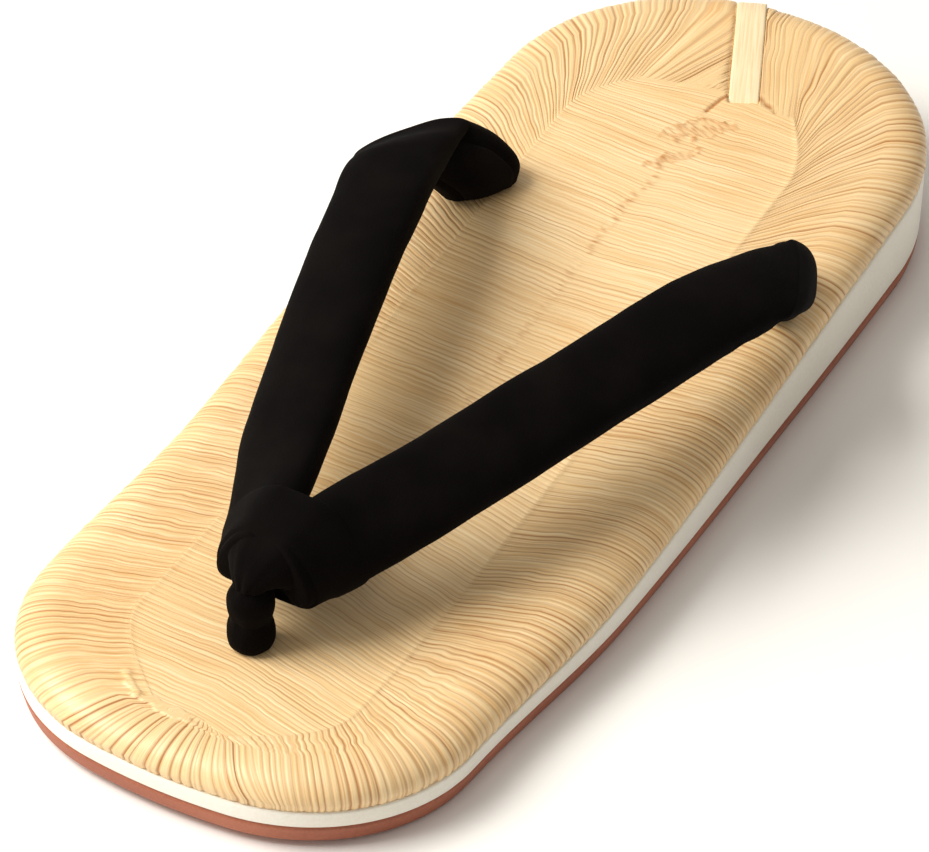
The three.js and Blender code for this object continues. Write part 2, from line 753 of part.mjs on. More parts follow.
// The hood of the wrap, as oval sections that turn from level at the neck to upright at
// the rear, where it is wide enough for both strap ends.
function wrapGeometry() {
  const neck = POST_BASE_Z + POST_HEIGHT + CLEARANCE;
  const neckRadius = POST_NECK_RADIUS + WRAP_NECK_EASE;
  const loopRoom = LOOP_RADIUS + LOOP_CORD_RADIUS + CLEARANCE + WRAP_WALL;
  const levels = [
    { back: 0, up: neck, turn: 0, width: neckRadius, depth: neckRadius },
    { back: 0, up: neck + 2, turn: 8, width: loopRoom, depth: loopRoom },
    { back: 0.4, up: LOOP_CENTRE.z + 0.5, turn: 30, width: loopRoom + 3.2, depth: loopRoom + 1.4 },
    {
      back: 4,
      up: LOOP_CENTRE.z + 1.2,
      turn: 62,
      width: WRAP_REAR_HALF_WIDTH - 1.6,
      depth: loopRoom + 2,
    },
    {
      back: WRAP_LENGTH,
      up: LOOP_CENTRE.z + 1.2,
      turn: 86,
      width: WRAP_REAR_HALF_WIDTH,
      depth: WRAP_REAR_HALF_HEIGHT,
    },
  ];
  const stations = levels.map((level) => {
    const turn = THREE.MathUtils.degToRad(level.turn);
    return {
      centre: new THREE.Vector3(TOE_POST.x, TOE_POST.y + level.back, level.up),
      across: new THREE.Vector3(1, 0, 0),
      up: new THREE.Vector3(0, Math.cos(turn), -Math.sin(turn)),
      section: [ellipse(level.width, level.depth, 20)],
    };
  });
  const loopRoomTool = new THREE.SphereGeometry(
    LOOP_RADIUS + LOOP_CORD_RADIUS + CLEARANCE, 16, 10,
  );
  loopRoomTool.translate(LOOP_CENTRE.x, LOOP_CENTRE.y, LOOP_CENTRE.z);
  return cut(sweepSolid(stations), [
    strapBody(SIDES.left, CLEARANCE),
    strapBody(SIDES.right, CLEARANCE),
    cordSolid(strapCordPoints(), CORD_RADIUS + CLEARANCE),
    loopRoomTool,
    post(TOE_POST.x, TOE_POST.y, CORD_RADIUS + CLEARANCE, POST_BASE_Z, LOOP_CENTRE.z, 12),
  ]);
}

// ---------------------------------------------------------------- the sandal

function finish(color, roughness, metalness) {
  return new THREE.MeshStandardMaterial({ color, roughness, metalness });
}

const sandal = new THREE.Group();

function addPart(name, geometry, material) {
  const mesh = new THREE.Mesh(geometry, material);
  mesh.name = name;
  sandal.add(mesh);
}

const VELVET = finish(0x0c0a0a, 0.95, 0);
const COTTON = finish(0xd9d2c2, 0.95, 0);
const HEMP = finish(0xb39763, 0.9, 0);

addPart('outsole', outsoleGeometry(), finish(0x8f5136, 0.7, 0));
addPart('midsole_wedge', midsoleGeometry(), finish(0xefeadf, 0.75, 0));
addPart('footbed_core', coreGeometry(), finish(0xe6e0d0, 0.9, 0));
addPart('woven_cover', coverGeometry(), finish(0xe6c08a, 0.5, 0));
addPart('heel_strip', heelStripGeometry(), finish(0xe9cf9f, 0.45, 0));

for (const [name, side] of Object.entries(SIDES)) {
  addPart(`strap_cover_${name}`, strapCoverGeometry(side), VELVET);
  addPart(`strap_lining_${name}`, strapLiningGeometry(side), VELVET);
  addPart(`strap_padding_${name}`, strapPaddingGeometry(side), COTTON);
  sandal.add(washerMesh(`rear_washer_${name}`, rearHole(side)));
}

addPart('strap_cord', strapCordGeometry(), HEMP);
addPart('toe_cord', toeCordGeometry(), HEMP);
addPart('toe_post_cover', toePostCoverGeometry(), VELVET);
addPart('toe_post_padding', toePostPaddingGeometry(), COTTON);
addPart('strap_wrap', wrapGeometry(), VELVET);
sandal.add(washerMesh('front_washer', TOE_POST));

export default sandal;
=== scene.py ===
"""Looks of a right-foot thong sandal of the Japanese setta kind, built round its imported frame.

A woven bamboo-sheath footbed wraps over a white foam wedge on a rust-coloured rubber sole. A
padded velvet Y-strap runs from two rear holes to a toe post, where a velvet wrap hides the knot.
Lengths are in millimetres here and become metres when a mesh is made.
"""

import logging
import math
from collections.abc import Callable
from dataclasses import dataclass, field
from enum import Enum

import bpy
import numpy as np
from mathutils import Matrix, Vector


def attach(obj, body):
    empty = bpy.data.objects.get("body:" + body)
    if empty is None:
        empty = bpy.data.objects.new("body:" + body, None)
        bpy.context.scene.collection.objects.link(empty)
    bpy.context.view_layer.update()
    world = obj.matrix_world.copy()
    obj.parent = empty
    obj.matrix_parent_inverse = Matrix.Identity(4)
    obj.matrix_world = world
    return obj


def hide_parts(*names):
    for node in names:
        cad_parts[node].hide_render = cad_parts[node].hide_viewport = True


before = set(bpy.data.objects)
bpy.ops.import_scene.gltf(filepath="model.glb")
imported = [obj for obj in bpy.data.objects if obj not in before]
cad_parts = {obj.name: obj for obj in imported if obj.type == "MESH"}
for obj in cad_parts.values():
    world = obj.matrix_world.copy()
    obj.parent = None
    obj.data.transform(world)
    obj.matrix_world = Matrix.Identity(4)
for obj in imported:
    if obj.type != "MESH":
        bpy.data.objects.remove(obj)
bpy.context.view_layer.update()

MM = 0.001
BODY = "root"

log = logging.getLogger("sandal")

Colour = tuple[float, float, float]


# ---------------------------------------------------------------- small helpers


def linear(red: int, green: int, blue: int) -> tuple[float, float, float, float]:
    """A display colour of 0 to 255 per channel as a linear RGBA.

    Args:
        red: Red channel.
        green: Green channel.
        blue: Blue channel.

    Returns:
        The linear colour, with an alpha of 1.
    """
    def channel(value: int) -> float:
        """One channel in linear light."""
        share = value / 255
        return share / 12.92 if share <= 0.04045 else ((share + 0.055) / 1.055) ** 2.4

    return channel(red), channel(green), channel(blue), 1.0


def smoothstep(value: np.ndarray | float, low: float, high: float) -> np.ndarray:
    """A smooth climb from 0 at low to 1 at high."""
    share = np.clip((np.asarray(value, float) - low) / (high - low), 0, 1)
    return share * share * (3 - 2 * share)


def lerp(a: np.ndarray | float, b: np.ndarray | float, share: np.ndarray | float) -> np.ndarray:
    """The value a share of the way from a to b."""
    return a + (b - a) * share


def unit(vectors: np.ndarray) -> np.ndarray:
    """Vectors scaled to length one along their last axis."""
    return vectors / np.maximum(np.linalg.norm(vectors, axis=-1, keepdims=True), 1e-12)


def soft_noise(u: np.ndarray, v: np.ndarray, seed: int) -> np.ndarray:
    """Smooth value noise on a lattice of whole numbers.

    Args:
        u: First coordinate.
        v: Second coordinate.
        seed: Picks the lattice.

    Returns:
        Values between -1 and 1.
    """
    size = 128
    lattice = np.random.default_rng(seed).uniform(-1, 1, (size, size))
    u, v = np.broadcast_arrays(np.asarray(u, float), np.asarray(v, float))
    iu, iv = np.floor(u).astype(int), np.floor(v).astype(int)
    fu, fv = smoothstep(u - iu, 0, 1), smoothstep(v - iv, 0, 1)
    a = lattice[iu % size, iv % size]
    b = lattice[(iu + 1) % size, iv % size]
    c = lattice[iu % size, (iv + 1) % size]
    d = lattice[(iu + 1) % size, (iv + 1) % size]
    return lerp(lerp(a, b, fu), lerp(c, d, fu), fv)


def smooth_interp(at: np.ndarray, knots: tuple[tuple[float, float], ...], window: int) -> np.ndarray:
    """Values through knots, with their corners rounded off.

    Args:
        at: Evenly spaced places, rising.
        knots: Pairs of a place and a value.
        window: How many places the rounding spans.

    Returns:
        One value for each place.
    """
    places, values = zip(*knots)
    straight = np.interp(at, places, values)
    slope_in, slope_out = straight[1] - straight[0], straight[-1] - straight[-2]
    reach = np.arange(1, window + 1)
    padded = np.concatenate([
        straight[0] - slope_in * reach[::-1], straight, straight[-1] + slope_out * reach,
    ])
    kernel = np.ones(2 * window + 1) / (2 * window + 1)
    return np.convolve(padded, kernel, mode="valid")


def make_object(
    name: str,
    points: np.ndarray,
    faces: list,
    material: bpy.types.Material,
    attributes: dict[str, np.ndarray] | None = None,
) -> bpy.types.Object:
    """A smooth-shaded object from points in millimetres.

    Args:
        name: Name of the object.
        points: Corner points.
        faces: Lists of point indices, anticlockwise seen from outside.
        material: The finish.
        attributes: Values held on each point, as numbers or as vectors.

    Returns:
        The new object, linked to the scene.
    """
    mesh = bpy.data.meshes.new(name)
    mesh.from_pydata((points * MM).tolist(), [], faces)
    mesh.polygons.foreach_set("use_smooth", np.ones(len(mesh.polygons), bool))
    for label, values in (attributes or {}).items():
        values = np.asarray(values, np.float32)
        is_vector = values.ndim == 2
        layer = mesh.attributes.new(label, "FLOAT_VECTOR" if is_vector else "FLOAT", "POINT")
        layer.data.foreach_set("vector" if is_vector else "value", values.ravel())
    mesh.materials.append(material)
    mesh.update()
    obj = bpy.data.objects.new(name, mesh)
    bpy.context.scene.collection.objects.link(obj)
    return obj


def grid_faces(rows: int, columns: int, start: int = 0, closed: bool = True) -> list[list[int]]:
    """Faces between rows of points that lie one after another.

    Args:
        rows: Number of rows.
        columns: Points in each row.
        start: Index of the first point.
        closed: Whether each row joins up with its own start.

    Returns:
        Quads that face outwards where rows climb and columns run anticlockwise.
    """
    row = np.arange(rows - 1)[:, None]
    column = np.arange(columns if closed else columns - 1)[None, :]
    after = (column + 1) % columns
    corners = [row * columns + column, row * columns + after]
    corners += [(row + 1) * columns + after, (row + 1) * columns + column]
    return (np.stack(corners, -1).reshape(-1, 4) + start).tolist()


def finish_piece(obj: bpy.types.Object, slot: str, *nodes: str) -> bpy.types.Object:
    """Lets a piece ride on the body and stand for its nodes.

    Args:
        obj: The piece.
        slot: A material slot of the record; not used.
        nodes: The frame's nodes that it replaces.

    Returns:
        The same piece.
    """
    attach(obj, BODY)
    if nodes:
        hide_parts(*nodes)
    log.info("%s: %d faces, stands for %s", obj.name, len(obj.data.polygons), nodes)
    return obj


# ---------------------------------------------------------------- shader node groups


class Socket(Enum):
    """Kinds of socket that the node groups use."""

    NUMBER = "NodeSocketFloat"
    VECTOR = "NodeSocketVector"
    COLOUR = "NodeSocketColor"


@dataclass
class GroupMaker:
    """Builds one shader node group with named inputs and outputs."""

    name: str
    inputs: dict[str, tuple[Socket, object]]
    outputs: dict[str, Socket]
    tree: bpy.types.NodeTree = field(init=False)

    def __post_init__(self) -> None:
        """Makes the empty group and its sockets."""
        self.tree = bpy.data.node_groups.new(self.name, "ShaderNodeTree")
        for label, (kind, value) in self.inputs.items():
            made = self.tree.interface.new_socket(label, in_out="INPUT", socket_type=kind.value)
            made.default_value = value
        for label, kind in self.outputs.items():
            self.tree.interface.new_socket(label, in_out="OUTPUT", socket_type=kind.value)
        self.source = self.tree.nodes.new("NodeGroupInput")
        self.sink = self.tree.nodes.new("NodeGroupOutput")

    def add(self, kind: str, **settings: object) -> bpy.types.Node:
        """A new node with its settings."""
        return add_node(self.tree, kind, **settings)

    def link(self, out: bpy.types.NodeSocket, into: bpy.types.NodeSocket) -> None:
        """Joins two sockets."""
        self.tree.links.new(out, into)


def add_node(tree: bpy.types.NodeTree, kind: str, **settings: object) -> bpy.types.Node:
    """A new node in a tree.

    Args:
        tree: The tree.
        kind: The node's type.
        settings: Properties of the node.

    Returns:
        The node.
    """
    node = tree.nodes.new(kind)
    for label, value in settings.items():
        setattr(node, label, value)
    return node


def make_streaks_group() -> bpy.types.NodeTree:
    """Long thin streaks, as fibres or grain make, drawn out along one axis."""
    maker = GroupMaker(
        "long_streaks",
        {
            "Vector": (Socket.VECTOR, (0, 0, 0)),
            "Across": (Socket.NUMBER, 1.0),
            "Along": (Socket.NUMBER, 0.1),
            "Contrast": (Socket.NUMBER, 1.0),
        },
        {"Value": Socket.NUMBER, "Fine": Socket.NUMBER},
    )
    scale = maker.add("ShaderNodeCombineXYZ")
    maker.link(maker.source.outputs["Across"], scale.inputs["X"])
    maker.link(maker.source.outputs["Along"], scale.inputs["Y"])
    maker.link(maker.source.outputs["Along"], scale.inputs["Z"])
    stretched = maker.add("ShaderNodeVectorMath", operation="MULTIPLY")
    maker.link(maker.source.outputs["Vector"], stretched.inputs[0])
    maker.link(scale.outputs[0], stretched.inputs[1])
    for detail, factor, output in ((2.0, 1.0, "Value"), (4.0, 3.7, "Fine")):
        noise = maker.add("ShaderNodeTexNoise")
        noise.inputs["Scale"].default_value = factor
        noise.inputs["Detail"].default_value = detail
        maker.link(stretched.outputs[0], noise.inputs["Vector"])
        centred = maker.add("ShaderNodeMath", operation="SUBTRACT")
        centred.inputs[1].default_value = 0.5
        maker.link(noise.outputs["Fac"], centred.inputs[0])
        scaled = maker.add("ShaderNodeMath", operation="MULTIPLY_ADD", use_clamp=True)
        scaled.inputs[2].default_value = 0.5
        maker.link(centred.outputs[0], scaled.inputs[0])
        maker.link(maker.source.outputs["Contrast"], scaled.inputs[1])
        maker.link(scaled.outputs[0], maker.sink.inputs[output])
    return maker.tree


def make_speckle_group() -> bpy.types.NodeTree:
    """Fine specks over soft blotches, for foam, rubber, leather, felt and dust."""
    maker = GroupMaker(
        "speckle",
        {
            "Vector": (Socket.VECTOR, (0, 0, 0)),
            "Speck Scale": (Socket.NUMBER, 900.0),
            "Blotch Scale": (Socket.NUMBER, 25.0),
            "Contrast": (Socket.NUMBER, 1.0),
        },
        {"Speck": Socket.NUMBER, "Blotch": Socket.NUMBER},
    )
    for source, output, detail in (("Speck Scale", "Speck", 2.0), ("Blotch Scale", "Blotch", 4.0)):
        noise = maker.add("ShaderNodeTexNoise")
        noise.inputs["Detail"].default_value = detail
        maker.link(maker.source.outputs["Vector"], noise.inputs["Vector"])
        maker.link(maker.source.outputs[source], noise.inputs["Scale"])
        centred = maker.add("ShaderNodeMath", operation="SUBTRACT")
        centred.inputs[1].default_value = 0.5
        maker.link(noise.outputs["Fac"], centred.inputs[0])
        scaled = maker.add("ShaderNodeMath", operation="MULTIPLY_ADD", use_clamp=True)
        scaled.inputs[2].default_value = 0.5
        maker.link(centred.outputs[0], scaled.inputs[0])
        maker.link(maker.source.outputs["Contrast"], scaled.inputs[1])
        maker.link(scaled.outputs[0], maker.sink.inputs[output])
    return maker.tree


def make_twist_group() -> bpy.types.NodeTree:
    """Slanting strands of a twisted cord."""
    maker = GroupMaker(
        "twisted_strands",
        {"Vector": (Socket.VECTOR, (0, 0, 0)), "Scale": (Socket.NUMBER, 300.0)},
        {"Strand": Socket.NUMBER},
    )
    wave = maker.add("ShaderNodeTexWave", wave_type="BANDS", bands_direction="DIAGONAL")
    wave.inputs["Distortion"].default_value = 1.5
    maker.link(maker.source.outputs["Vector"], wave.inputs["Vector"])
    maker.link(maker.source.outputs["Scale"], wave.inputs["Scale"])
    maker.link(wave.outputs["Fac"], maker.sink.inputs["Strand"])
    return maker.tree


STREAKS = make_streaks_group()
SPECKLE = make_speckle_group()
TWIST = make_twist_group()


@dataclass
class Recipe:
    """A material being put together round one Principled shader."""

    name: str
    material: bpy.types.Material = field(init=False)

    def __post_init__(self) -> None:
        """Makes the material with its shader and output."""
        self.material = bpy.data.materials.new(self.name)
        self.material.use_nodes = True
        self.tree = self.material.node_tree
        self.shader = self.tree.nodes["Principled BSDF"]

    def set(self, **values: float | tuple) -> None:
        """Sets the shader's own sockets, named with underscores for spaces."""
        for label, value in values.items():
            self.shader.inputs[label.replace("_", " ")].default_value = value

    def add(self, kind: str, **settings: object) -> bpy.types.Node:
        """A new node in the material."""
        return add_node(self.tree, kind, **settings)

    def link(self, out: bpy.types.NodeSocket, into: bpy.types.NodeSocket) -> None:
        """Joins two sockets."""
        self.tree.links.new(out, into)

    def group(
        self, tree: bpy.types.NodeTree, vector: bpy.types.NodeSocket, **values: float,
    ) -> bpy.types.Node:
        """Places a node group.

        Args:
            tree: The group.
            vector: What it is drawn on.
            values: Its other inputs, named with underscores for spaces.

        Returns:
            The group node.
        """
        node = self.add("ShaderNodeGroup", node_tree=tree)
        self.link(vector, node.inputs["Vector"])
        for label, value in values.items():
            node.inputs[label.replace("_", " ")].default_value = value
        return node

    def place(self) -> bpy.types.NodeSocket:
        """The place on the object, in metres."""
        return self.add("ShaderNodeTexCoord").outputs["Object"]

    def attribute(self, name: str) -> bpy.types.Node:
        """A node that reads values held on the mesh."""
        return self.add("ShaderNodeAttribute", attribute_name=name)

    def ramp(
        self, value: bpy.types.NodeSocket, stops: list[tuple[float, tuple]],
    ) -> bpy.types.NodeSocket:
        """Turns a value into a colour.

        Args:
            value: The value.
            stops: Places and linear colours.

        Returns:
            The colour socket.
        """
        node = self.add("ShaderNodeValToRGB")
        elements = node.color_ramp.elements
        while len(elements) < len(stops):
            elements.new(0.5)
        for element, (place, colour) in zip(elements, stops):
            element.position = place
            element.color = colour
        self.link(value, node.inputs["Fac"])
        return node.outputs["Color"]

    def mix(
        self,
        factor: float | bpy.types.NodeSocket,
        first: tuple | bpy.types.NodeSocket,
        second: tuple | bpy.types.NodeSocket,
    ) -> bpy.types.NodeSocket:
        """A mix of two colours.

        Args:
            factor: A socket or a number.
            first: Colour socket, or a linear colour.
            second: Colour socket, or a linear colour.

        Returns:
            The colour socket.
        """
        node = self.add("ShaderNodeMix", data_type="RGBA")
        sockets = {"Factor_Float": factor, "A_Color": first, "B_Color": second}
        for identifier, value in sockets.items():
            socket = next(item for item in node.inputs if item.identifier == identifier)
            if isinstance(value, bpy.types.NodeSocket):
                self.link(value, socket)
            else:
                socket.default_value = value
        return next(item for item in node.outputs if item.identifier == "Result_Color")

    def math(
        self,
        operation: str,
        first: float | bpy.types.NodeSocket,
        second: float | bpy.types.NodeSocket,
        clamp: bool = False,
    ) -> bpy.types.NodeSocket:
        """A sum, product or other operation on two numbers.

        Args:
            operation: Name of the operation.
            first: Socket or number.
            second: Socket or number.
            clamp: Whether the result is held between 0 and 1.

        Returns:
            The result socket.
        """
        node = self.add("ShaderNodeMath", operation=operation, use_clamp=clamp)
        for index, value in enumerate((first, second)):
            if isinstance(value, bpy.types.NodeSocket):
                self.link(value, node.inputs[index])
            else:
                node.inputs[index].default_value = value
        return node.outputs[0]

    def span(self, value: bpy.types.NodeSocket, low: float, high: float) -> bpy.types.NodeSocket:
        """A value of 0 to 1 spread from low to high."""
        node = self.add("ShaderNodeMapRange")
        node.inputs["To Min"].default_value = low
        node.inputs["To Max"].default_value = high
        self.link(value, node.inputs["Value"])
        return node.outputs["Result"]

    def bump(self, height: bpy.types.NodeSocket, distance: float, strength: float = 1.0) -> None:
        """Feeds a height to the shader's normal, with its depth in metres."""
        node = self.add("ShaderNodeBump")
        node.inputs["Distance"].default_value = distance
        node.inputs["Strength"].default_value = strength
        self.link(height, node.inputs["Height"])
        self.link(node.outputs["Normal"], self.shader.inputs["Normal"])

    def colour(self, socket: bpy.types.NodeSocket) -> None:
        """Feeds the base colour."""
        self.link(socket, self.shader.inputs["Base Color"])

    def roughness(self, socket: bpy.types.NodeSocket) -> None:
        """Feeds the roughness."""
        self.link(socket, self.shader.inputs["Roughness"])


# ---------------------------------------------------------------- finishes


@dataclass(frozen=True)
class WovenSheath:
    """Bamboo sheath, ridged over the weave: pale on the ridges, amber in the grooves; the groove colour also
    paints shade beside the closing strip and in the tuck under it.
    """

    crest: tuple = linear(247, 222, 176)
    body: tuple = linear(238, 204, 150)
    warm: tuple = linear(222, 178, 118)
    # Amber of the grooves, also used as painted shade beside the closing strip and in the tuck under it.
    groove: tuple = linear(168, 104, 42)
    scar: tuple = linear(186, 118, 52)

    def material(self) -> bpy.types.Material:
        """The finished material."""
        recipe = Recipe("woven_sheath")
        recipe.set(Specular_IOR_Level=0.5, Coat_Weight=0.12, Coat_Roughness=0.25)
        weave = recipe.attribute("weave").outputs["Vector"]
        # The groove attribute holds the weave's groove tone plus painted shade beside the closing strip and
        # in the tuck.
        groove = recipe.attribute("groove").outputs["Fac"]
        scar = recipe.attribute("scar").outputs["Fac"]
        fibres = recipe.group(STREAKS, weave, Across=2.6, Along=0.045, Contrast=1.5)
        blotch = recipe.group(STREAKS, weave, Across=0.35, Along=0.03, Contrast=2.0)
        cloud = recipe.group(SPECKLE, recipe.place(), Speck_Scale=2200, Blotch_Scale=22, Contrast=1.4)
        tone = recipe.math("MULTIPLY", fibres.outputs["Value"], 0.6)
        tone = recipe.math("ADD", tone, recipe.math("MULTIPLY", blotch.outputs["Value"], 0.12))
        tone = recipe.math("ADD", tone, recipe.math("MULTIPLY", cloud.outputs["Blotch"], 0.28))
        base = recipe.ramp(tone, [(0.25, self.warm), (0.48, self.body), (0.72, self.crest)])
        depth = recipe.math("MULTIPLY", groove, recipe.span(fibres.outputs["Fine"], 0.6, 1.15))
        base = recipe.mix(recipe.math("MULTIPLY", depth, 1.0, clamp=True), base, self.groove)
        base = recipe.mix(recipe.math("MULTIPLY", scar, 0.8, clamp=True), base, self.scar)
        recipe.colour(base)
        recipe.roughness(recipe.span(fibres.outputs["Fine"], 0.34, 0.52))
        recipe.bump(fibres.outputs["Fine"], 0.00006, 0.6)
        return recipe.material


@dataclass(frozen=True)
class SmoothSheath:
    """The smooth closing strip of sheath, with a fine grain along it."""

    light: tuple = linear(248, 228, 190)
    dark: tuple = linear(238, 210, 164)

    def material(self) -> bpy.types.Material:
        """The finished material."""
        recipe = Recipe("smooth_sheath")
        recipe.set(Specular_IOR_Level=0.5, Coat_Weight=0.15, Coat_Roughness=0.25)
        grain = recipe.group(
            STREAKS, recipe.attribute("weave").outputs["Vector"], Across=2.2, Along=0.05, Contrast=1.6,
        )
        recipe.colour(recipe.ramp(grain.outputs["Value"], [(0.3, self.dark), (0.65, self.light)]))
        recipe.roughness(recipe.span(grain.outputs["Fine"], 0.36, 0.5))
        recipe.bump(grain.outputs["Fine"], 0.00005, 0.5)
        return recipe.material


@dataclass(frozen=True)
class Speckled:
    """A moulded or felted finish: soft blotches of two colours under fine specks."""

    name: str
    light: tuple
    dark: tuple
    speck_scale: float
    rough_low: float
    rough_high: float
    bump_depth: float
    blotch_scale: float = 30.0

    def material(self) -> bpy.types.Material:
        """The finished material."""
        recipe = Recipe(self.name)
        grain = recipe.group(
            SPECKLE,
            recipe.place(),
            Speck_Scale=self.speck_scale,
            Blotch_Scale=self.blotch_scale,
            Contrast=1.5,
        )
        tone = recipe.math("MULTIPLY", grain.outputs["Blotch"], 0.6)
        tone = recipe.math("ADD", tone, recipe.math("MULTIPLY", grain.outputs["Speck"], 0.4))
        recipe.colour(recipe.ramp(tone, [(0.3, self.dark), (0.7, self.light)]))
        recipe.roughness(recipe.span(grain.outputs["Speck"], self.rough_low, self.rough_high))
        recipe.bump(grain.outputs["Speck"], self.bump_depth, 0.7)
        return recipe.material


@dataclass(frozen=True)
class Velvet:
    """Deep pile cloth: nearly black face on, with a faint sheen at the turns."""

    name: str
    pile: tuple
    brushed: tuple
    sheen: float

    def material(self) -> bpy.types.Material:
        """The finished material."""
        recipe = Recipe(self.name)
        recipe.set(
            Specular_IOR_Level=0.06,
            Sheen_Weight=self.sheen,
            Sheen_Roughness=0.35,
            Sheen_Tint=linear(196, 186, 184),
        )
        pile = recipe.group(
            SPECKLE, recipe.place(), Speck_Scale=3800, Blotch_Scale=90, Contrast=1.8,
        )
        tone = recipe.math("MULTIPLY", pile.outputs["Blotch"], 0.65)
        tone = recipe.math("ADD", tone, recipe.math("MULTIPLY", pile.outputs["Speck"], 0.35))
        recipe.colour(recipe.ramp(tone, [(0.35, self.pile), (0.75, self.brushed)]))
        recipe.roughness(recipe.span(pile.outputs["Speck"], 0.85, 1.0))
        recipe.bump(pile.outputs["Speck"], 0.00012, 0.6)
        return recipe.material


@dataclass(frozen=True)
class TwistedCord:
    """Hemp cord with slanting strands."""

    light: tuple = linear(196, 170, 120)
    dark: tuple = linear(128, 100, 60)

    def material(self) -> bpy.types.Material:
        """The finished material."""
        recipe = Recipe("hemp_cord")
        strands = recipe.group(TWIST, recipe.place(), Scale=420)
        specks = recipe.group(SPECKLE, recipe.place(), Speck_Scale=2600, Blotch_Scale=120, Contrast=1.4)
        tone = recipe.math("MULTIPLY", strands.outputs["Strand"], 0.6)
        tone = recipe.math("ADD", tone, recipe.math("MULTIPLY", specks.outputs["Speck"], 0.4))
        recipe.colour(recipe.ramp(tone, [(0.25, self.dark), (0.75, self.light)]))
        recipe.roughness(recipe.span(specks.outputs["Speck"], 0.75, 0.95))
        recipe.bump(tone, 0.0003, 0.8)
        return recipe.material


WOVEN = WovenSheath().material()
SMOOTH = SmoothSheath().material()
FOAM = Speckled(
    "white_foam", linear(247, 244, 234), linear(238, 233, 220), 1500, 0.55, 0.72, 0.00005,
).material()
CORE = Speckled(
    "core_foam", linear(228, 222, 206), linear(206, 198, 178), 700, 0.8, 0.95, 0.0002,
).material()
RUBBER = Speckled(
    "rust_rubber", linear(176, 104, 76), linear(150, 82, 58), 1800, 0.5, 0.68, 0.00008,
).material()
VELVET = Velvet("black_velvet", linear(6, 4, 4), linear(12, 9, 8), 0.012).material()
LINING = Velvet("black_lining", linear(12, 10, 10), linear(22, 19, 18), 0.01).material()
COTTON = Speckled(
    "cotton_padding", linear(226, 219, 203), linear(200, 190, 168), 1100, 0.9, 1.0, 0.0003,
).material()
HEMP = TwistedCord().material()
LEATHER = Speckled(
    "washer_leather", linear(150, 112, 72), linear(112, 78, 46), 900, 0.6, 0.85, 0.0002,
).material()


# ---------------------------------------------------------------- plan and heights


@dataclass
class Plan:
    """Outline of the sole seen from above: five tangent arcs a side, swung for a right foot."""

    length: float = 265.0
    width: float = 101.5
    widest_y: float = -15.0
    side_radius: float = 2200.0
    toe_end_radius: float = 115.0
    toe_corner_radius: float = 39.0
    heel_end_radius: float = 90.0
    heel_corner_radius: float = 47.0
    toe_swing: float = -2.0
    waist_swing: float = 0.8
    toe_swing_from_toe: float = 42.0
    waist_swing_from_toe: float = 92.0
    swing_ends_from_toe: float = 165.0

    def __post_init__(self) -> None:
        """Lays the arcs of the right half end to end from the toe tip."""
        half = self.length / 2
        toe_end = np.array([0, self.toe_end_radius - half])
        heel_end = np.array([0, half - self.heel_end_radius])
        side = np.array([self.width / 2 - self.side_radius, self.widest_y])
        toe_corner = self._corner(toe_end, self.toe_end_radius, self.toe_corner_radius, side, -1)
        heel_corner = self._corner(heel_end, self.heel_end_radius, self.heel_corner_radius, side, 1)
        turns = [
            -math.pi / 2,
            self._angle(toe_end, toe_corner),
            self._angle(side, toe_corner),
            self._angle(side, heel_corner),
            self._angle(heel_end, heel_corner),
            math.pi / 2,
        ]
        self.centres = np.array([toe_end, toe_corner, side, heel_corner, heel_end])
        self.radii = np.array([
            self.toe_end_radius,
            self.toe_corner_radius,
            self.side_radius,
            self.heel_corner_radius,
            self.heel_end_radius,
        ])
        self.turns = np.array(turns)
        self.starts = np.concatenate([[0], np.cumsum(self.radii * np.diff(self.turns))])
        self.half_round = float(self.starts[-1])
        self.round = 2 * self.half_round

    def _corner(
        self, end: np.ndarray, end_radius: float, radius: float, side: np.ndarray, way: int,
    ) -> np.ndarray:
        """Centre of a corner arc that is tangent to the side and to an end."""
        from_end, from_side = end_radius - radius, self.side_radius - radius
        between = end - side
        distance = np.linalg.norm(between)
        along = (from_side**2 - from_end**2 + distance**2) / (2 * distance)
        off = math.sqrt(from_side**2 - along**2) * way
        ahead = between / distance
        return side + along * ahead + off * np.array([-ahead[1], ahead[0]])

    @staticmethod
    def _angle(start: np.ndarray, end: np.ndarray) -> float:
        """Direction from one point to another."""
        return math.atan2(end[1] - start[1], end[0] - start[0])

    def swing(self, y: np.ndarray) -> np.ndarray:
        """How far the middle line lies to the right at a place along the sole."""
        from_toe = y + self.length / 2
        out = smoothstep(from_toe, self.toe_swing_from_toe, self.waist_swing_from_toe)
        back = smoothstep(from_toe, self.waist_swing_from_toe, self.swing_ends_from_toe)
        return lerp(lerp(self.toe_swing, self.waist_swing, out), 0, back)

    def edge(self, around: np.ndarray, inset: np.ndarray | float) -> tuple[np.ndarray, np.ndarray]:
        """Points of the outline moved inwards.

        Args:
            around: Distances round the outline, anticlockwise from the toe tip.
            inset: How far inside the outline each point lies.

        Returns:
            The points, and the outward directions.
        """
        around = np.mod(around, self.round)
        mirrored = around > self.half_round
        reach = np.where(mirrored, self.round - around, around)
        arc = np.clip(np.searchsorted(self.starts, reach, side="right") - 1, 0, 4)
        angle = self.turns[arc] + (reach - self.starts[arc]) / self.radii[arc]
        outward = np.stack([np.cos(angle), np.sin(angle)], -1)
        points = self.centres[arc] + (self.radii[arc] - inset)[..., None] * outward
        flip = np.where(mirrored, -1.0, 1.0)
        points[..., 0] *= flip
        outward[..., 0] *= flip
        points[..., 0] += self.swing(points[..., 1])
        return points, outward


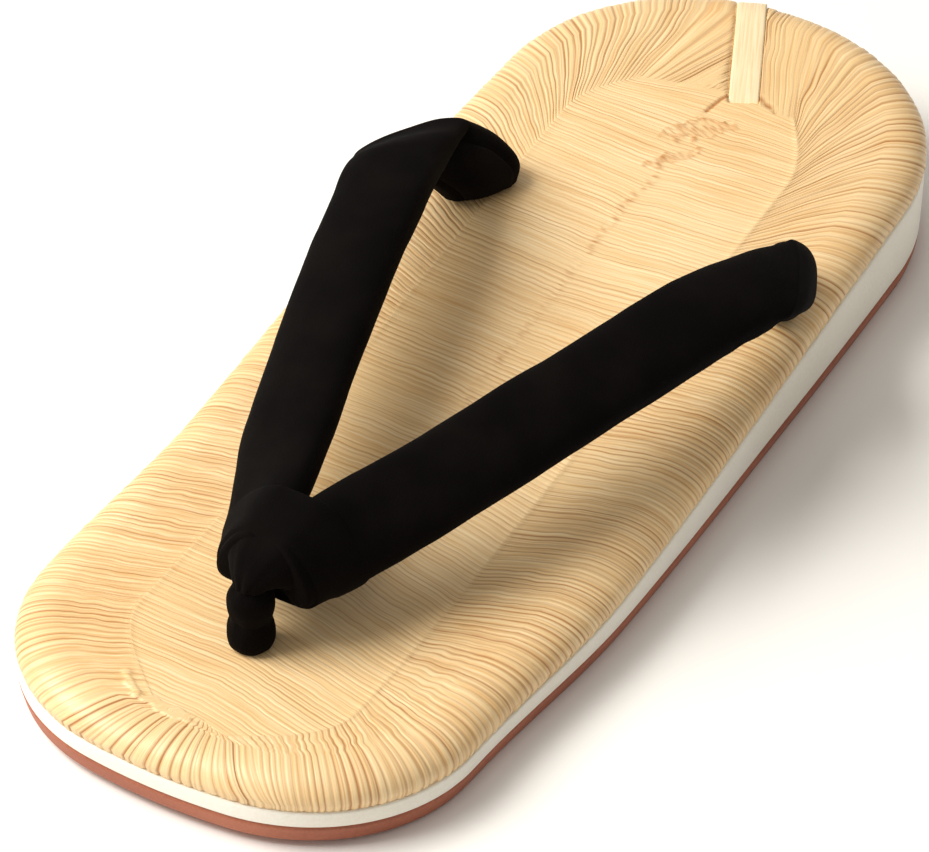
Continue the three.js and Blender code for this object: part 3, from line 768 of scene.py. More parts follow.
@dataclass
class Heights:
    """Heights of the sole's layers along its length."""

    forefoot: float = 15.6
    heel: float = 28.8
    rise_starts: float = -85.0
    rise_ends: float = 120.5
    toe_spring: float = 2.0
    toe_spring_ends: float = -75.5
    toe_spring_length: float = 57.0
    outsole: float = 4.3
    cover_depth: float = 7.0

    def ground(self, y: np.ndarray) -> np.ndarray:
        """The underside."""
        lift = np.maximum((self.toe_spring_ends - y) / self.toe_spring_length, 0)
        return self.toe_spring * lift**2

    def footbed(self, y: np.ndarray) -> np.ndarray:
        """The top of the cover."""
        climb = smoothstep(y, self.rise_starts, self.rise_ends)
        return self.ground(y) + lerp(self.forefoot, self.heel, climb)

    def seam(self, y: np.ndarray) -> np.ndarray:
        """The line where the cover ends and the foam begins."""
        return self.footbed(y) - self.cover_depth

    def outsole_top(self, y: np.ndarray) -> np.ndarray:
        """The line between the foam and the rubber."""
        return self.ground(y) + self.outsole


PLAN = Plan()
HEIGHTS = Heights()


# ---------------------------------------------------------------- woven cover


@dataclass
class Ridges:
    """Rounded ridges of uneven width along a row of points, with narrow grooves between."""

    count: int
    samples: float
    seed: int
    unevenness: float = 0.28

    def __post_init__(self) -> None:
        """Draws the ridges' widths and works out each point's place in its ridge."""
        rng = np.random.default_rng(self.seed)
        widths = []
        while sum(widths) < self.count + 2 * self.samples:
            widths.append(self.samples * rng.uniform(1 - self.unevenness, 1 + self.unevenness))
        starts = np.concatenate([[0], np.cumsum(widths)])
        at = np.arange(self.count)
        self.ridge = np.searchsorted(starts, at, side="right") - 1
        inside = (at - starts[self.ridge]) / np.array(widths)[self.ridge]
        across = np.abs(2 * inside - 1)
        size = len(widths)
        height = rng.uniform(0.65, 1.0, size)[self.ridge]
        split = rng.uniform(0, 1, size)[self.ridge] < 0.5
        split_at = rng.uniform(0.35, 0.65, size)[self.ridge]
        hair = np.where(split, np.exp(-(((inside - split_at) / 0.1) ** 2)), 0) * 0.55
        self.rise = height * (1 - across**3.4) * (1 - 0.45 * hair) - (1 - height) * 0.25
        dark = 0.25 + 0.75 * rng.uniform(0, 1, size)[self.ridge] ** 1.6
        self.groove = smoothstep(across, 0.5, 0.95) * dark + hair * 0.55


@dataclass
class Scar:
    """An oval patch of torn, browned fibres on the footbed."""

    x: float
    y: float
    half_length: float
    half_width: float
    turn: float
    lift: float

    def mask(self, x: np.ndarray, y: np.ndarray) -> np.ndarray:
        """How far a point is inside the patch, from 0 to 1, with a ragged edge."""
        cos, sin = math.cos(math.radians(self.turn)), math.sin(math.radians(self.turn))
        along = ((x - self.x) * cos + (y - self.y) * sin) / self.half_length
        across = ((y - self.y) * cos - (x - self.x) * sin) / self.half_width
        ragged = 0.4 * soft_noise(x * 0.55, y * 0.8, 61)
        return 1 - smoothstep(np.hypot(along, across) + ragged, 0.7, 1.05)


@dataclass
class WovenCover:
    """The ridged cover: a middle zone of cross rows, and a border that fans over the edge."""

    round_across: float = 9.0
    round_up: float = 5.5
    rim_tuck: float = 0.5
    wall: float = 1.5
    spine_x: float = -0.8
    zone_half_width: float = 26.5
    toe_row_y: float = -119.5
    heel_row_y: float = 96.0
    toe_row_half: float = 9.0
    heel_row_half: float = 18.0
    zone_round: float = 24.0
    rows: int = 1061
    columns: int = 110
    end_share: int = 3
    ridge_pitch: float = 1.22
    middle_depth: float = 0.2
    border_depth: float = 0.34
    rim_depth: float = 0.42
    border_steps: int = 26
    round_steps: int = 11
    strip_around: float = 337.0
    rim_turn: float = 0.15
    rim_drift: float = 7.0
    # Where each row of the middle zone, named by its place on the spine, meets the outline.
    right_fan: tuple = (
        (-119.5, 15), (-110, 31), (-98, 47), (-85.5, 70), (-74.5, 85), (-61.5, 103), (-24, 141),
        (2, 169), (30, 200), (48, 228), (58, 243), (70, 261), (76, 274), (82, 284), (88, 297),
        (93, 309), (96, 317),
    )
    left_fan: tuple = (
        (-119.5, 15), (-112, 34), (-102, 54), (-86, 74), (-60, 101), (-30, 133), (0, 168),
        (30, 204), (57, 234), (66, 248), (75, 265), (83, 279), (89, 291), (93, 298), (96, 301),
    )
    # Where the heel row meets the outline: beyond the closing strip from both sides.
    heel_fan_right: tuple = ((17.2, 317), (13, 325), (8, 331), (4.6, 336.5))
    heel_fan_left: tuple = ((4.4, 312), (-5, 318), (-13.7, 327), (-16.2, 337), (-18.8, 349.4))
    right_slant: tuple = ((-119.5, -0.24), (-40, -0.24), (30, 0.1), (80, 0.08), (96, -0.06))
    left_slant: tuple = ((-119.5, 0.0), (70, 0.06), (86, 0.0), (96, -0.27))
    fold_line: tuple = (
        (-0.6, 88.6), (-0.2, 91.4), (0.3, 94.0), (1.6, 97.0), (4.2, 98.2), (8.0, 97.6), (12.4, 95.4),
    )
    scars: tuple = (
        Scar(1.2, 82.4, 7.2, 3.2, 42, 0.5),
        Scar(0.8, 71.8, 6.2, 1.7, 50, 0.35),
    )

    def _zone_rows(self) -> tuple[np.ndarray, np.ndarray, np.ndarray]:
        """Spine places, half widths and slants of the middle zone's rows."""
        y = np.linspace(self.toe_row_y, self.heel_row_y, self.rows)
        from_toe = np.clip((y - self.toe_row_y) / self.zone_round, 0, 1)
        from_heel = np.clip((self.heel_row_y - y) / self.zone_round, 0, 1)
        toe = lerp(self.toe_row_half, self.zone_half_width, np.sin(from_toe * math.pi / 2))
        heel = lerp(self.heel_row_half, self.zone_half_width, np.sin(from_heel * math.pi / 2))
        slants = [smooth_interp(y, knots, 50) for knots in (self.left_slant, self.right_slant)]
        return y, np.minimum(toe, heel), np.stack(slants)

    def _zone_points(self) -> np.ndarray:
        """Plan points of the middle zone, row by row from toe to heel."""
        y, half, slant = self._zone_rows()
        share = np.linspace(-1, 1, self.columns + 1)
        x = self.spine_x + half[:, None] * share
        side = np.where(share < 0, slant[0][:, None], slant[1][:, None])
        rows = y[:, None] + side * np.abs(x - self.spine_x)
        wave = 0.35 * soft_noise(x / 7, rows / 9, 11) + 0.12 * soft_noise(x / 2.2, rows / 5, 12)
        fade = 1 - np.abs(share) ** 6
        return np.stack([x, rows + wave * fade], -1)

    def _border(self, zone: np.ndarray) -> dict[str, np.ndarray]:
        """Inner points, outline places and ridge data of the border's columns, all round."""
        y = np.linspace(self.toe_row_y, self.heel_row_y, self.rows)
        right = smooth_interp(y, self.right_fan, 45)
        left = PLAN.round - smooth_interp(y, self.left_fan, 45)
        fine = np.linspace(0, 1, self.columns * self.end_share + 1)
        across = fine * self.columns
        heel = np.stack([np.interp(across, range(self.columns + 1), zone[-1, ::-1, k]) for k in (0, 1)], -1)
        toe = np.stack([np.interp(across, range(self.columns + 1), zone[0, :, k]) for k in (0, 1)], -1)
        side = Ridges(self.rows, self.ridge_pitch * self.rows / (self.heel_row_y - self.toe_row_y), 3)
        heel_x = np.interp(across, range(self.columns + 1), zone[-1, ::-1, 0])
        on_right = heel_x > sum(fan[index][0] for fan, index in (
            (self.heel_fan_right, -1), (self.heel_fan_left, 0),
        )) / 2
        heel_around = np.where(
            on_right,
            np.interp(heel_x, *zip(*self.heel_fan_right[::-1])),
            np.interp(heel_x, *zip(*self.heel_fan_left[::-1])),
        )
        heel_ridges = Ridges(len(fine), len(fine) / 30, 5)
        toe_ridges = Ridges(len(fine), len(fine) / 17, 7, 0.5)
        end_fade = smoothstep(np.minimum(fine, 1 - fine), 0, 0.02)
        return {
            "inner": np.concatenate([zone[:-1, -1], heel[:-1], zone[:0:-1, 0], toe[:-1]]),
            "around": np.concatenate([
                right[:-1],
                heel_around[:-1],
                left[:0:-1],
                lerp(left[0] - PLAN.round, right[0], fine)[:-1],
            ]),
            "rise": np.concatenate([
                side.rise[:-1],
                (heel_ridges.rise * end_fade)[:-1],
                side.rise[:0:-1],
                (toe_ridges.rise * end_fade)[:-1],
            ]),
            "groove": np.concatenate([
                side.groove[:-1], heel_ridges.groove[:-1], side.groove[:0:-1], toe_ridges.groove[:-1],
            ]),
            "ridge": np.concatenate([
                side.ridge[:-1],
                heel_ridges.ridge[:-1] + 500,
                side.ridge[:0:-1] + 1000,
                toe_ridges.ridge[:-1] + 1500,
            ]),
            "side": side,
            "on_right": np.concatenate([
                np.ones(len(right) - 1, bool), on_right[:-1], np.zeros(len(left) - 1, bool),
                np.ones(len(fine) - 1, bool),
            ]),
        }

    def _keep_clear(
        self, flat: np.ndarray, around: np.ndarray, on_right: np.ndarray,
    ) -> tuple[np.ndarray, np.ndarray]:
        """Bends columns that would cross the closing strip so that they run on beneath it.

        Args:
            flat: Plan points by ring and column.
            around: Outline place of each column.
            on_right: Whether each column belongs to the right of the strip.

        Returns:
            The points and outline places, each held on its own side of the strip.
        """
        near = np.abs(around - self.strip_around) < 40
        way = np.where(on_right, -1.0, 1.0)
        gap = (around - self.strip_around) * way
        held = self.strip_around + way * (gap + np.sqrt(gap**2 + 0.6)) / 2
        held = np.where(near, held, around)
        start, rim = HEEL_STRIP.ends()
        ahead = (rim - start) / np.linalg.norm(rim - start)
        sideways = np.array([-ahead[1], ahead[0]])
        _, off = HEEL_STRIP.local(flat)
        clear = off * way
        wanted = (clear + np.sqrt(clear**2 + 0.6)) / 2
        late = smoothstep(np.arange(1, len(flat) + 1) / len(flat), 0.05, 0.4)[:, None]
        push = np.where(near, (wanted - clear) * late, 0)
        moved = flat + (push * way)[..., None] * sideways
        target, _ = PLAN.edge(held, self.round_across)
        share = (np.arange(1, len(flat) + 1) / len(flat))[:, None, None]
        moved = moved + (target - moved[-1]) * share**3
        return moved, held

    def _features(self, points: np.ndarray) -> tuple[np.ndarray, np.ndarray, np.ndarray, np.ndarray]:
        """Local changes to the weave.

        Args:
            points: Plan points.

        Returns:
            How much of the ridges stays, an extra height, an extra groove colour that is partly painted
            shade, and the scar mask.
        """
        x, y = points[..., 0], points[..., 1]
        keep = np.ones(x.shape)
        lift = np.zeros(x.shape)
        groove = np.zeros(x.shape)
        scar = np.zeros(x.shape)
        # The channel of the closing strip, and the weave's folded edge over its end.
        along, off = HEEL_STRIP.local(points)
        in_length = smoothstep(along, 4.5, 5.5)
        channel = (1 - smoothstep(np.abs(off), 3.15, 3.5)) * in_length
        keep *= 1 - channel
        lift -= 0.85 * channel
        # Painted shade: a thin line of groove colour along both edges of the strip's channel.
        edge_shadow = np.exp(-(((np.abs(off) - 3.7) / 0.35) ** 2)) * in_length
        groove += 0.3 * edge_shadow
        # The smooth gusset beside the strip.
        gusset = self._triangle(points, (-10.4, 92.2), (-1.9, 97.6), (-4.6, 106.0))
        keep *= 1 - 0.92 * gusset
        lift += 0.12 * gusset
        # Torn fibres on the spine: browned, with a curled rim and streaks across.
        for patch in self.scars:
            mask = patch.mask(x, y)
            rim = 4 * mask * (1 - mask)
            streaks = soft_noise(x * 0.6, y * 2.4 + x * 0.9, 71)
            rough = soft_noise(x * 0.8, y * 1.7, 72)
            lift += patch.lift * (rim * (0.3 + 0.3 * rough) + mask * (0.35 * streaks - 0.2))
            scar = np.maximum(scar, mask * (0.35 + 0.3 * streaks) + rim * (0.3 + 0.5 * rough))
            groove += mask * np.clip(streaks, 0, 1) * 0.6
            keep *= 1 - 0.9 * mask
        # The ragged spine, where the rows of the two halves meet.
        reach = smoothstep(y, -60, 10) * (1 - smoothstep(y, 84, 90))
        wander = 0.9 * soft_noise(y / 9, 0, 81) + 0.5 * soft_noise(y / 2.1, 0, 83)
        spine = np.exp(-(((x - self.spine_x - wander) / 0.9) ** 2)) * reach
        rough = soft_noise(x * 0.7, y * 1.9, 82)
        lift += spine * (0.06 + 0.12 * rough)
        groove += spine * np.clip(0.1 + 0.45 * rough, 0, 1)
        scar = np.maximum(scar, spine * np.clip(0.1 + 0.4 * rough, 0, 0.5) * smoothstep(y, 0, 60))
        # The dark line where the last fold of sheath tucks under the strip: a shallow dip, with painted
        # shade in groove colour along it.
        fold = self._line(points, self.fold_line)
        lift -= 0.3 * fold
        groove += 1.2 * fold
        inner = smoothstep(y, 91.5, 93) * smoothstep(x, -1.5, 0.5) * (1 - smoothstep(x, 12, 16))
        keep *= 1 - 0.6 * inner
        # Folded slivers of smooth sheath behind the toe rim.
        for x0, y0, half_length, half_width, turn in (
            (-4.5, -121.0, 9.5, 1.6, -6), (-15.5, -118.0, 4.5, 1.3, -42),
        ):
            patch = Scar(x0, y0, half_length, half_width, turn, 0).mask(x, y)
            keep *= 1 - 0.85 * patch
            lift += 0.25 * patch
        return keep, lift, groove, np.clip(scar, 0, 1)

    @staticmethod
    def _line(points: np.ndarray, knots: tuple) -> np.ndarray:
        """A narrow mask along a line through knots.

        Args:
            points: Plan points.
            knots: The line's corners.

        Returns:
            Values from 0 off the line to 1 on it.
        """
        best = np.full(points.shape[:-1], 1e9)
        for start, end in zip(np.array(knots, float), np.array(knots[1:], float)):
            span = end - start
            share = np.clip((points - start) @ span / (span @ span), 0, 1)
            best = np.minimum(best, np.linalg.norm(points - start - share[..., None] * span, axis=-1))
        return np.exp(-((best / 0.42) ** 2))

    @staticmethod
    def _triangle(points: np.ndarray, *corners: tuple[float, float]) -> np.ndarray:
        """How far points are inside a triangle with softened edges, from 0 to 1."""
        inside = np.ones(points.shape[:-1])
        for (ax, ay), (bx, by) in zip(corners, corners[1:] + corners[:1]):
            length = math.hypot(bx - ax, by - ay)
            off = ((bx - ax) * (points[..., 1] - ay) - (by - ay) * (points[..., 0] - ax)) / length
            inside = inside * smoothstep(off, -0.15, 0.35)
        return inside

    def build(self) -> bpy.types.Object:
        """Builds the cover as one closed shell and lets it ride."""
        zone = self._zone_points()
        border = self._border(zone)
        side = border["side"]
        columns = len(border["inner"])
        along_edge = border["around"]

        # Middle zone.
        x, y = zone[..., 0], zone[..., 1]
        keep, lift, extra, scar = self._features(zone)
        edge_share = np.abs(np.linspace(-1, 1, self.columns + 1))
        row = np.arange(self.rows)
        fade = smoothstep(row, 0, 12) * smoothstep(self.rows - 1 - row, 0, 12)
        patchy = 0.8 + 0.35 * soft_noise(side.ridge[:, None] * 0.61, x / 11, 21)
        depth = self.middle_depth * (1 + 0.25 * edge_share**4) * patchy * fade[:, None]
        seam = np.exp(-(((edge_share - 1) * self.zone_half_width / 0.9) ** 2))
        rise = depth * (side.rise[:, None] - 1) * keep + lift + 0.14 * seam * keep
        zone_z = HEIGHTS.footbed(y) + rise
        # Groove colour: the weave's grooves, plus painted shade from the features beside the closing strip
        # and in the tuck.
        zone_groove_and_shade = side.groove[:, None] * keep * (0.4 + 0.6 * patchy) * 0.8 + extra
        zone_weave = np.stack([
            np.broadcast_to(np.arange(self.rows)[:, None] * 0.2, x.shape), x, np.zeros(x.shape),
        ], -1)

        # Border, flat part: curves from the middle zone to where the edge starts to round.
        start = border["inner"]
        rounding, outward = PLAN.edge(along_edge, self.round_across)
        gap = np.linalg.norm(rounding - start, axis=1, keepdims=True)
        straight = (rounding - start) / np.maximum(gap, 1e-6)
        control = rounding - unit(lerp(straight, outward, self.rim_turn)) * 0.45 * gap
        shares = (np.arange(1, self.border_steps + 1) / self.border_steps)[:, None, None]
        flat = (1 - shares) ** 2 * start + 2 * shares * (1 - shares) * control + shares**2 * rounding
        tangent = np.stack([-outward[:, 1], outward[:, 0]], -1)
        approach = unit(rounding - control)
        slope = (approach * tangent).sum(-1) / np.maximum((approach * outward).sum(-1), 0.4)
        drift = np.clip(slope, -1, 1) * self.rim_drift
        flat, along_edge = self._keep_clear(flat, along_edge, border["on_right"])
        wave = 0.5 * soft_noise(along_edge / 8, shares[..., 0] * 4, 31)
        wave = wave + 0.22 * soft_noise(along_edge / 2.5, shares[..., 0] * 6, 32)
        wave = wave * np.sin(shares[..., 0] * math.pi)
        flat = flat + wave[..., None] * tangent
        keep, lift, extra, scar_flat = self._features(flat)
        patchy = 0.85 + 0.3 * soft_noise(border["ridge"] * 0.61, shares[..., 0] * 3, 22)
        toe_end = smoothstep(-start[:, 1], 92, 112)
        depth = lerp(self.border_depth, self.rim_depth, shares[..., 0] ** 2) * patchy
        depth = depth * (1 - 0.45 * toe_end)
        in_share = smoothstep(shares[..., 0], 0, 0.12) * 0.4 + 0.6
        rise = depth * in_share * (border["rise"] - 1) * keep + lift
        flat_points = np.concatenate([flat, (HEIGHTS.footbed(flat[..., 1]) + rise)[..., None]], -1)
        flat_groove_and_shade = border["groove"] * keep * (0.7 + 0.6 * patchy) + extra

        # Border, rounded part and the short wall down to the seam.
        rim_points, rim_groove = [], []
        keep_rim = keep[-1]
        at_strip = np.exp(-(((along_edge - self.strip_around) / 9) ** 2))
        for step in range(1, self.round_steps + 3):
            turn = math.pi / 2 * max(1 - step / self.round_steps, 0)
            down = max(step - self.round_steps, 0) / 2
            inset = self.round_across * (1 - math.cos(turn)) + self.rim_tuck * down
            up = (HEIGHTS.cover_depth - self.round_up) * (1 - down) + self.round_up * math.sin(turn)
            moved = drift * min(step / self.round_steps, 1) * (1 - at_strip)
            plan, outward = PLAN.edge(along_edge + moved, inset)
            level = HEIGHTS.seam(plan[:, 1]) + up
            steep = np.array([math.cos(turn) / self.round_across, math.sin(turn) / self.round_up])
            steep = steep / np.linalg.norm(steep)
            depth = self.rim_depth * (1 - 0.45 * toe_end) * patchy[-1]
            along, off = HEEL_STRIP.local(plan)
            channel = (1 - smoothstep(np.abs(off), 3.15, 3.5)) * smoothstep(along, 4.5, 5.5)
            push = depth * (border["rise"] - 1) * keep_rim * (1 - channel) - 0.85 * channel
            level = level + push * steep[1] - 0.3 * down * (border["rise"] - 0.5) * keep_rim
            plan = plan + outward * (push * steep[0])[:, None]
            rim_points.append(np.concatenate([plan, level[:, None]], -1))
            rim_groove.append(1.15 * border["groove"] * keep_rim * (1 - channel))
        rim_points, rim_groove = np.array(rim_points), np.array(rim_groove)

        # Inside: the lip, the inner wall and the ceiling over the core.
        inner_points = []
        for turn_share in (0, 0, 0.5, 1):
            turn = math.pi / 2 * turn_share
            first = len(inner_points) == 0
            inset = self.wall + self.rim_tuck + (self.round_across - self.wall) * (1 - math.cos(turn))
            up = 0.0 if first else HEIGHTS.cover_depth - self.round_up
            up += (self.round_up - self.wall) * math.sin(turn)
            plan, _ = PLAN.edge(along_edge, inset)
            inner_points.append(np.concatenate([plan, (HEIGHTS.seam(plan[:, 1]) + up)[:, None]], -1))
        last = inner_points[-1][:, :2]
        for scale in (0.8, 0.6, 0.4, 0.2):
            plan = last * scale
            level = HEIGHTS.footbed(plan[:, 1]) - self.wall
            inner_points.append(np.concatenate([plan, level[:, None]], -1))
        inner_points = np.array(inner_points)
        centre = np.array([[0, 0, float(HEIGHTS.footbed(0.0)) - self.wall]])

        # Points in order: the middle zone, then the border's rings from inside to outside.
        zone_points = np.concatenate([zone, zone_z[..., None]], -1).reshape(-1, 3)
        zone_index = np.arange(len(zone_points)).reshape(self.rows, self.columns + 1)
        extra_heel = self._end_points(zone_points, zone_index[-1, ::-1])
        extra_toe = self._end_points(zone_points, zone_index[0])
        heel_start = len(zone_points)
        toe_start = heel_start + len(extra_heel)
        ring_start = toe_start + len(extra_toe)
        heel_loop = self._end_loop(zone_index[-1, ::-1], heel_start)
        toe_loop = self._end_loop(zone_index[0], toe_start)
        loop = np.concatenate([zone_index[:-1, -1], heel_loop[:-1], zone_index[:0:-1, 0], toe_loop[:-1]])
        rings = np.concatenate([flat_points, rim_points, inner_points])
        points = np.concatenate([zone_points, extra_heel, extra_toe, rings.reshape(-1, 3), centre])

        faces = self._zone_faces(zone_index, heel_loop, toe_loop)
        after = (np.arange(columns) + 1) % columns
        first_ring = ring_start + np.arange(columns)
        faces += np.stack([loop[after], loop, first_ring, first_ring[after]], -1).tolist()
        faces += [face[::-1] for face in grid_faces(len(rings), columns, ring_start)]
        last_ring = ring_start + (len(rings) - 1) * columns + np.arange(columns)
        centre_index = len(points) - 1
        faces += [[int(a), int(b), centre_index] for a, b in zip(last_ring[after], last_ring)]

        ends = np.zeros(len(extra_heel) + len(extra_toe))
        inside = np.zeros(inner_points.shape[0] * columns + 1)
        # The groove attribute: groove tone of the weave, with painted shade beside the closing strip and in
        # the tuck under it.
        groove = np.concatenate([
            zone_groove_and_shade.ravel(), ends, flat_groove_and_shade.ravel(), rim_groove.ravel(), inside,
        ])
        scars = np.concatenate([
            scar.ravel(), ends, scar_flat.ravel(), np.zeros(rim_groove.size), inside,
        ])
        across = np.cumsum(np.full(columns, 0.24))
        ring_levels = np.arange(len(rings))[:, None] * 1.2
        ring_weave = np.stack([
            np.broadcast_to(across + 400, (len(rings), columns)),
            np.broadcast_to(ring_levels, (len(rings), columns)),
            np.ones((len(rings), columns)),
        ], -1)
        weave = np.concatenate([
            zone_weave.reshape(-1, 3), np.zeros((len(ends), 3)), ring_weave.reshape(-1, 3), np.zeros((1, 3)),
        ])
        cover = make_object(
            "bamboo_sheath_cover", points, faces, WOVEN,
            {"groove": np.clip(groove, 0, 1), "scar": scars, "weave": weave},
        )
        return finish_piece(cover, "woven_sheath", "woven_cover")

    def _end_points(self, points: np.ndarray, row: np.ndarray) -> np.ndarray:
        """Extra points between those of an end row, for the finer border."""
        made = []
        for a, b in zip(row[:-1], row[1:]):
            for step in range(1, self.end_share):
                made.append(lerp(points[a], points[b], step / self.end_share))
        return np.array(made)

    def _end_loop(self, row: np.ndarray, start: int) -> np.ndarray:
        """Indices along an end row, with its extra points."""
        loop = [row[0]]
        for index, corner in enumerate(row[1:]):
            loop += [start + index * (self.end_share - 1) + step for step in range(self.end_share - 1)]
            loop.append(corner)
        return np.array(loop)

    def _zone_faces(self, index: np.ndarray, heel: np.ndarray, toe: np.ndarray) -> list[list[int]]:
        """Faces of the middle zone, whose end rows carry the border's extra points."""
        inner = index[1:-1]
        a, b, c, d = inner[:-1, :-1], inner[:-1, 1:], inner[1:, 1:], inner[1:, :-1]
        faces = np.stack([a, b, c, d], -1).reshape(-1, 4).tolist()
        for column in range(self.columns):
            first = column * self.end_share
            toe_part = toe[first:first + self.end_share + 1].tolist()
            faces.append(toe_part + [int(index[1, column + 1]), int(index[1, column])])
            heel_part = heel[first:first + self.end_share + 1].tolist()
            right = self.columns - column
            faces.append(heel_part + [int(index[-2, right - 1]), int(index[-2, right])])
        return faces


@dataclass
class HeelStrip:
    """The smooth strip that closes the weave, laid slantwise over the heel edge."""

    width: float = 6.5
    thickness: float = 0.6
    end_x: float = -12.0
    start: tuple[float, float] = (7.0, 90.5)
    heel_end_centre_y: float = 42.5
    heel_end_radius: float = 90.0
    dip_length: float = 7.0

    def ends(self) -> tuple[np.ndarray, np.ndarray]:
        """The start of the strip and its place on the heel outline."""
        lean = self.end_x / self.heel_end_radius
        outward = np.array([lean, math.sqrt(1 - lean * lean)])
        rim = np.array([0, self.heel_end_centre_y]) + outward * self.heel_end_radius
        return np.array(self.start), rim

    def local(self, points: np.ndarray) -> tuple[np.ndarray, np.ndarray]:
        """Distances along the strip from its start, and off its middle line."""
        start, rim = self.ends()
        ahead = (rim - start) / np.linalg.norm(rim - start)
        from_start = points - start
        along = from_start @ ahead
        off = from_start[..., 1] * ahead[0] - from_start[..., 0] * ahead[1]
        return along, off

    def build(self) -> bpy.types.Object:
        """Builds the strip as a thin closed band."""
        start, rim = self.ends()
        ahead = (rim - start) / np.linalg.norm(rim - start)
        sideways = np.array([-ahead[1], ahead[0]])
        edge = rim - ahead * 9.0
        stations = []
        for share in np.linspace(0, 1, 40):
            plan = lerp(start, edge, share)
            dip = 1.5 * (1 - smoothstep(np.linalg.norm(plan - start), 4.5, self.dip_length))
            stations.append((plan, float(HEIGHTS.footbed(plan[1])) - dip, np.array([0, 0, 1.0])))
        for degrees in np.linspace(84, 0, 15):
            turn = math.radians(degrees)
            plan = edge + ahead * 9.0 * math.cos(turn)
            up = HEIGHTS.cover_depth - 5.5 + 5.5 * math.sin(turn)
            normal = unit(np.array([*(ahead * math.cos(turn) / 9.0), math.sin(turn) / 5.5]))
            stations.append((plan, float(HEIGHTS.seam(plan[1])) + up, normal))
        end = stations[-1]
        stations.append((end[0] - ahead * 0.2, float(HEIGHTS.seam(end[0][1])) + 0.15, end[2]))
        shares = np.linspace(-1, 1, 13)
        points, weave = [], []
        for row, (plan, level, normal) in enumerate(stations):
            for side, sink in ((1, 0.0), (-1, self.thickness)):
                for share in shares[::side]:
                    off = share * self.width / 2
                    crown = 0.12 * (1 - abs(share) ** 5) - 0.16
                    ripple = 0.05 * float(soft_noise(row * 0.4, share * 2.5 + 20, 91))
                    centre = np.array([*(plan + sideways * off), level])
                    points.append(centre + normal * (crown + ripple - sink))
                    weave.append((off, row * 1.0, 0))
        columns = 2 * len(shares)
        faces = grid_faces(len(stations), columns)
        faces.append(list(range(columns))[::-1])
        faces.append([(len(stations) - 1) * columns + step for step in range(columns)])
        strip = make_object(
            "closing_strip", np.array(points), faces, SMOOTH, {"weave": np.array(weave)},
        )
        return finish_piece(strip, "smooth_sheath", "heel_strip")


HEEL_STRIP = HeelStrip()


# ---------------------------------------------------------------- foam wedge and outsole


@dataclass
class SoleLayer:
    """A layer of the sole: a smooth wall all round between two faces."""

    columns: int = 520
    rings: tuple[float, ...] = (0.97, 0.85, 0.65, 0.45, 0.25, 0.1)

    def solid(self, walls: list[tuple[float, np.ndarray]]) -> tuple[np.ndarray, list]:
        """A closed layer.

        Args:
            walls: From the bottom edge to the top edge, an inset and a height at each column.

        Returns:
            The points and faces.
        """
        around = np.linspace(0, PLAN.round, self.columns, endpoint=False)
        rows = []
        bottom_inset, bottom_height = walls[0]
        top_inset, top_height = walls[-1]
        bottom, _ = PLAN.edge(around, bottom_inset)
        top, _ = PLAN.edge(around, top_inset)
        for scale in self.rings[::-1]:
            rows.append(self._row(bottom * scale, bottom_height))
        for inset, height in walls:
            plan, _ = PLAN.edge(around, inset)
            rows.append(self._row(plan, height))
        for scale in self.rings:
            rows.append(self._row(top * scale, top_height))
        points = np.array(rows).reshape(-1, 3)
        faces = grid_faces(len(rows), self.columns)
        faces.append(list(range(self.columns))[::-1])
        faces.append([(len(rows) - 1) * self.columns + step for step in range(self.columns)])
        return points, faces

    @staticmethod
    def _row(plan: np.ndarray, height: Callable[[np.ndarray], np.ndarray]) -> np.ndarray:
        """Points of one ring at a height that varies along the sole."""
        return np.concatenate([plan, height(plan[:, 1])[:, None]], -1)


@dataclass
class FoamWedge(SoleLayer):
    """The white foam wedge between the cover and the outsole."""

    inset: float = 0.4
    edge_round: float = 0.35
    bulge: float = 0.12

    def build(self) -> bpy.types.Object:
        """Builds the wedge."""
        low = lambda y: HEIGHTS.outsole_top(y) + 0.1
        high = lambda y: HEIGHTS.seam(y) - 0.3
        walls = []
        for share in np.linspace(0, 1, 15):
            soft = self.edge_round * (smoothstep(abs(2 * share - 1), 0.86, 1.0))
            inset = self.inset + float(soft) - self.bulge * math.sin(share * math.pi)
            walls.append((inset, lambda y, share=share: lerp(low(y), high(y), share)))
        points, faces = self.solid(walls)
        wedge = make_object("foam_wedge", points, faces, FOAM)
        return finish_piece(wedge, "white_foam", "midsole_wedge")


@dataclass
class Outsole(SoleLayer):
    """The rust-coloured rubber outsole."""

    top_inset: float = 0.4
    bottom_inset: float = 1.5
    edge_round: float = 0.5

    def build(self) -> bpy.types.Object:
        """Builds the outsole."""
        low = HEIGHTS.ground
        high = HEIGHTS.outsole_top
        walls = []
        for share in (0, 0.04, 0.1, 0.2, 0.35, 0.5, 0.65, 0.8, 0.9, 0.96, 1):
            soft = self.edge_round * (1 - smoothstep(min(share, 1 - share), 0, 0.12))
            inset = lerp(self.bottom_inset, self.top_inset, share) + float(soft) - 0.1
            walls.append((inset, lambda y, share=share: lerp(low(y), high(y), share)))
        points, faces = self.solid(walls)
        sole = make_object("rubber_outsole", points, faces, RUBBER)
        return finish_piece(sole, "rust_rubber", "outsole")


# ---------------------------------------------------------------- strap


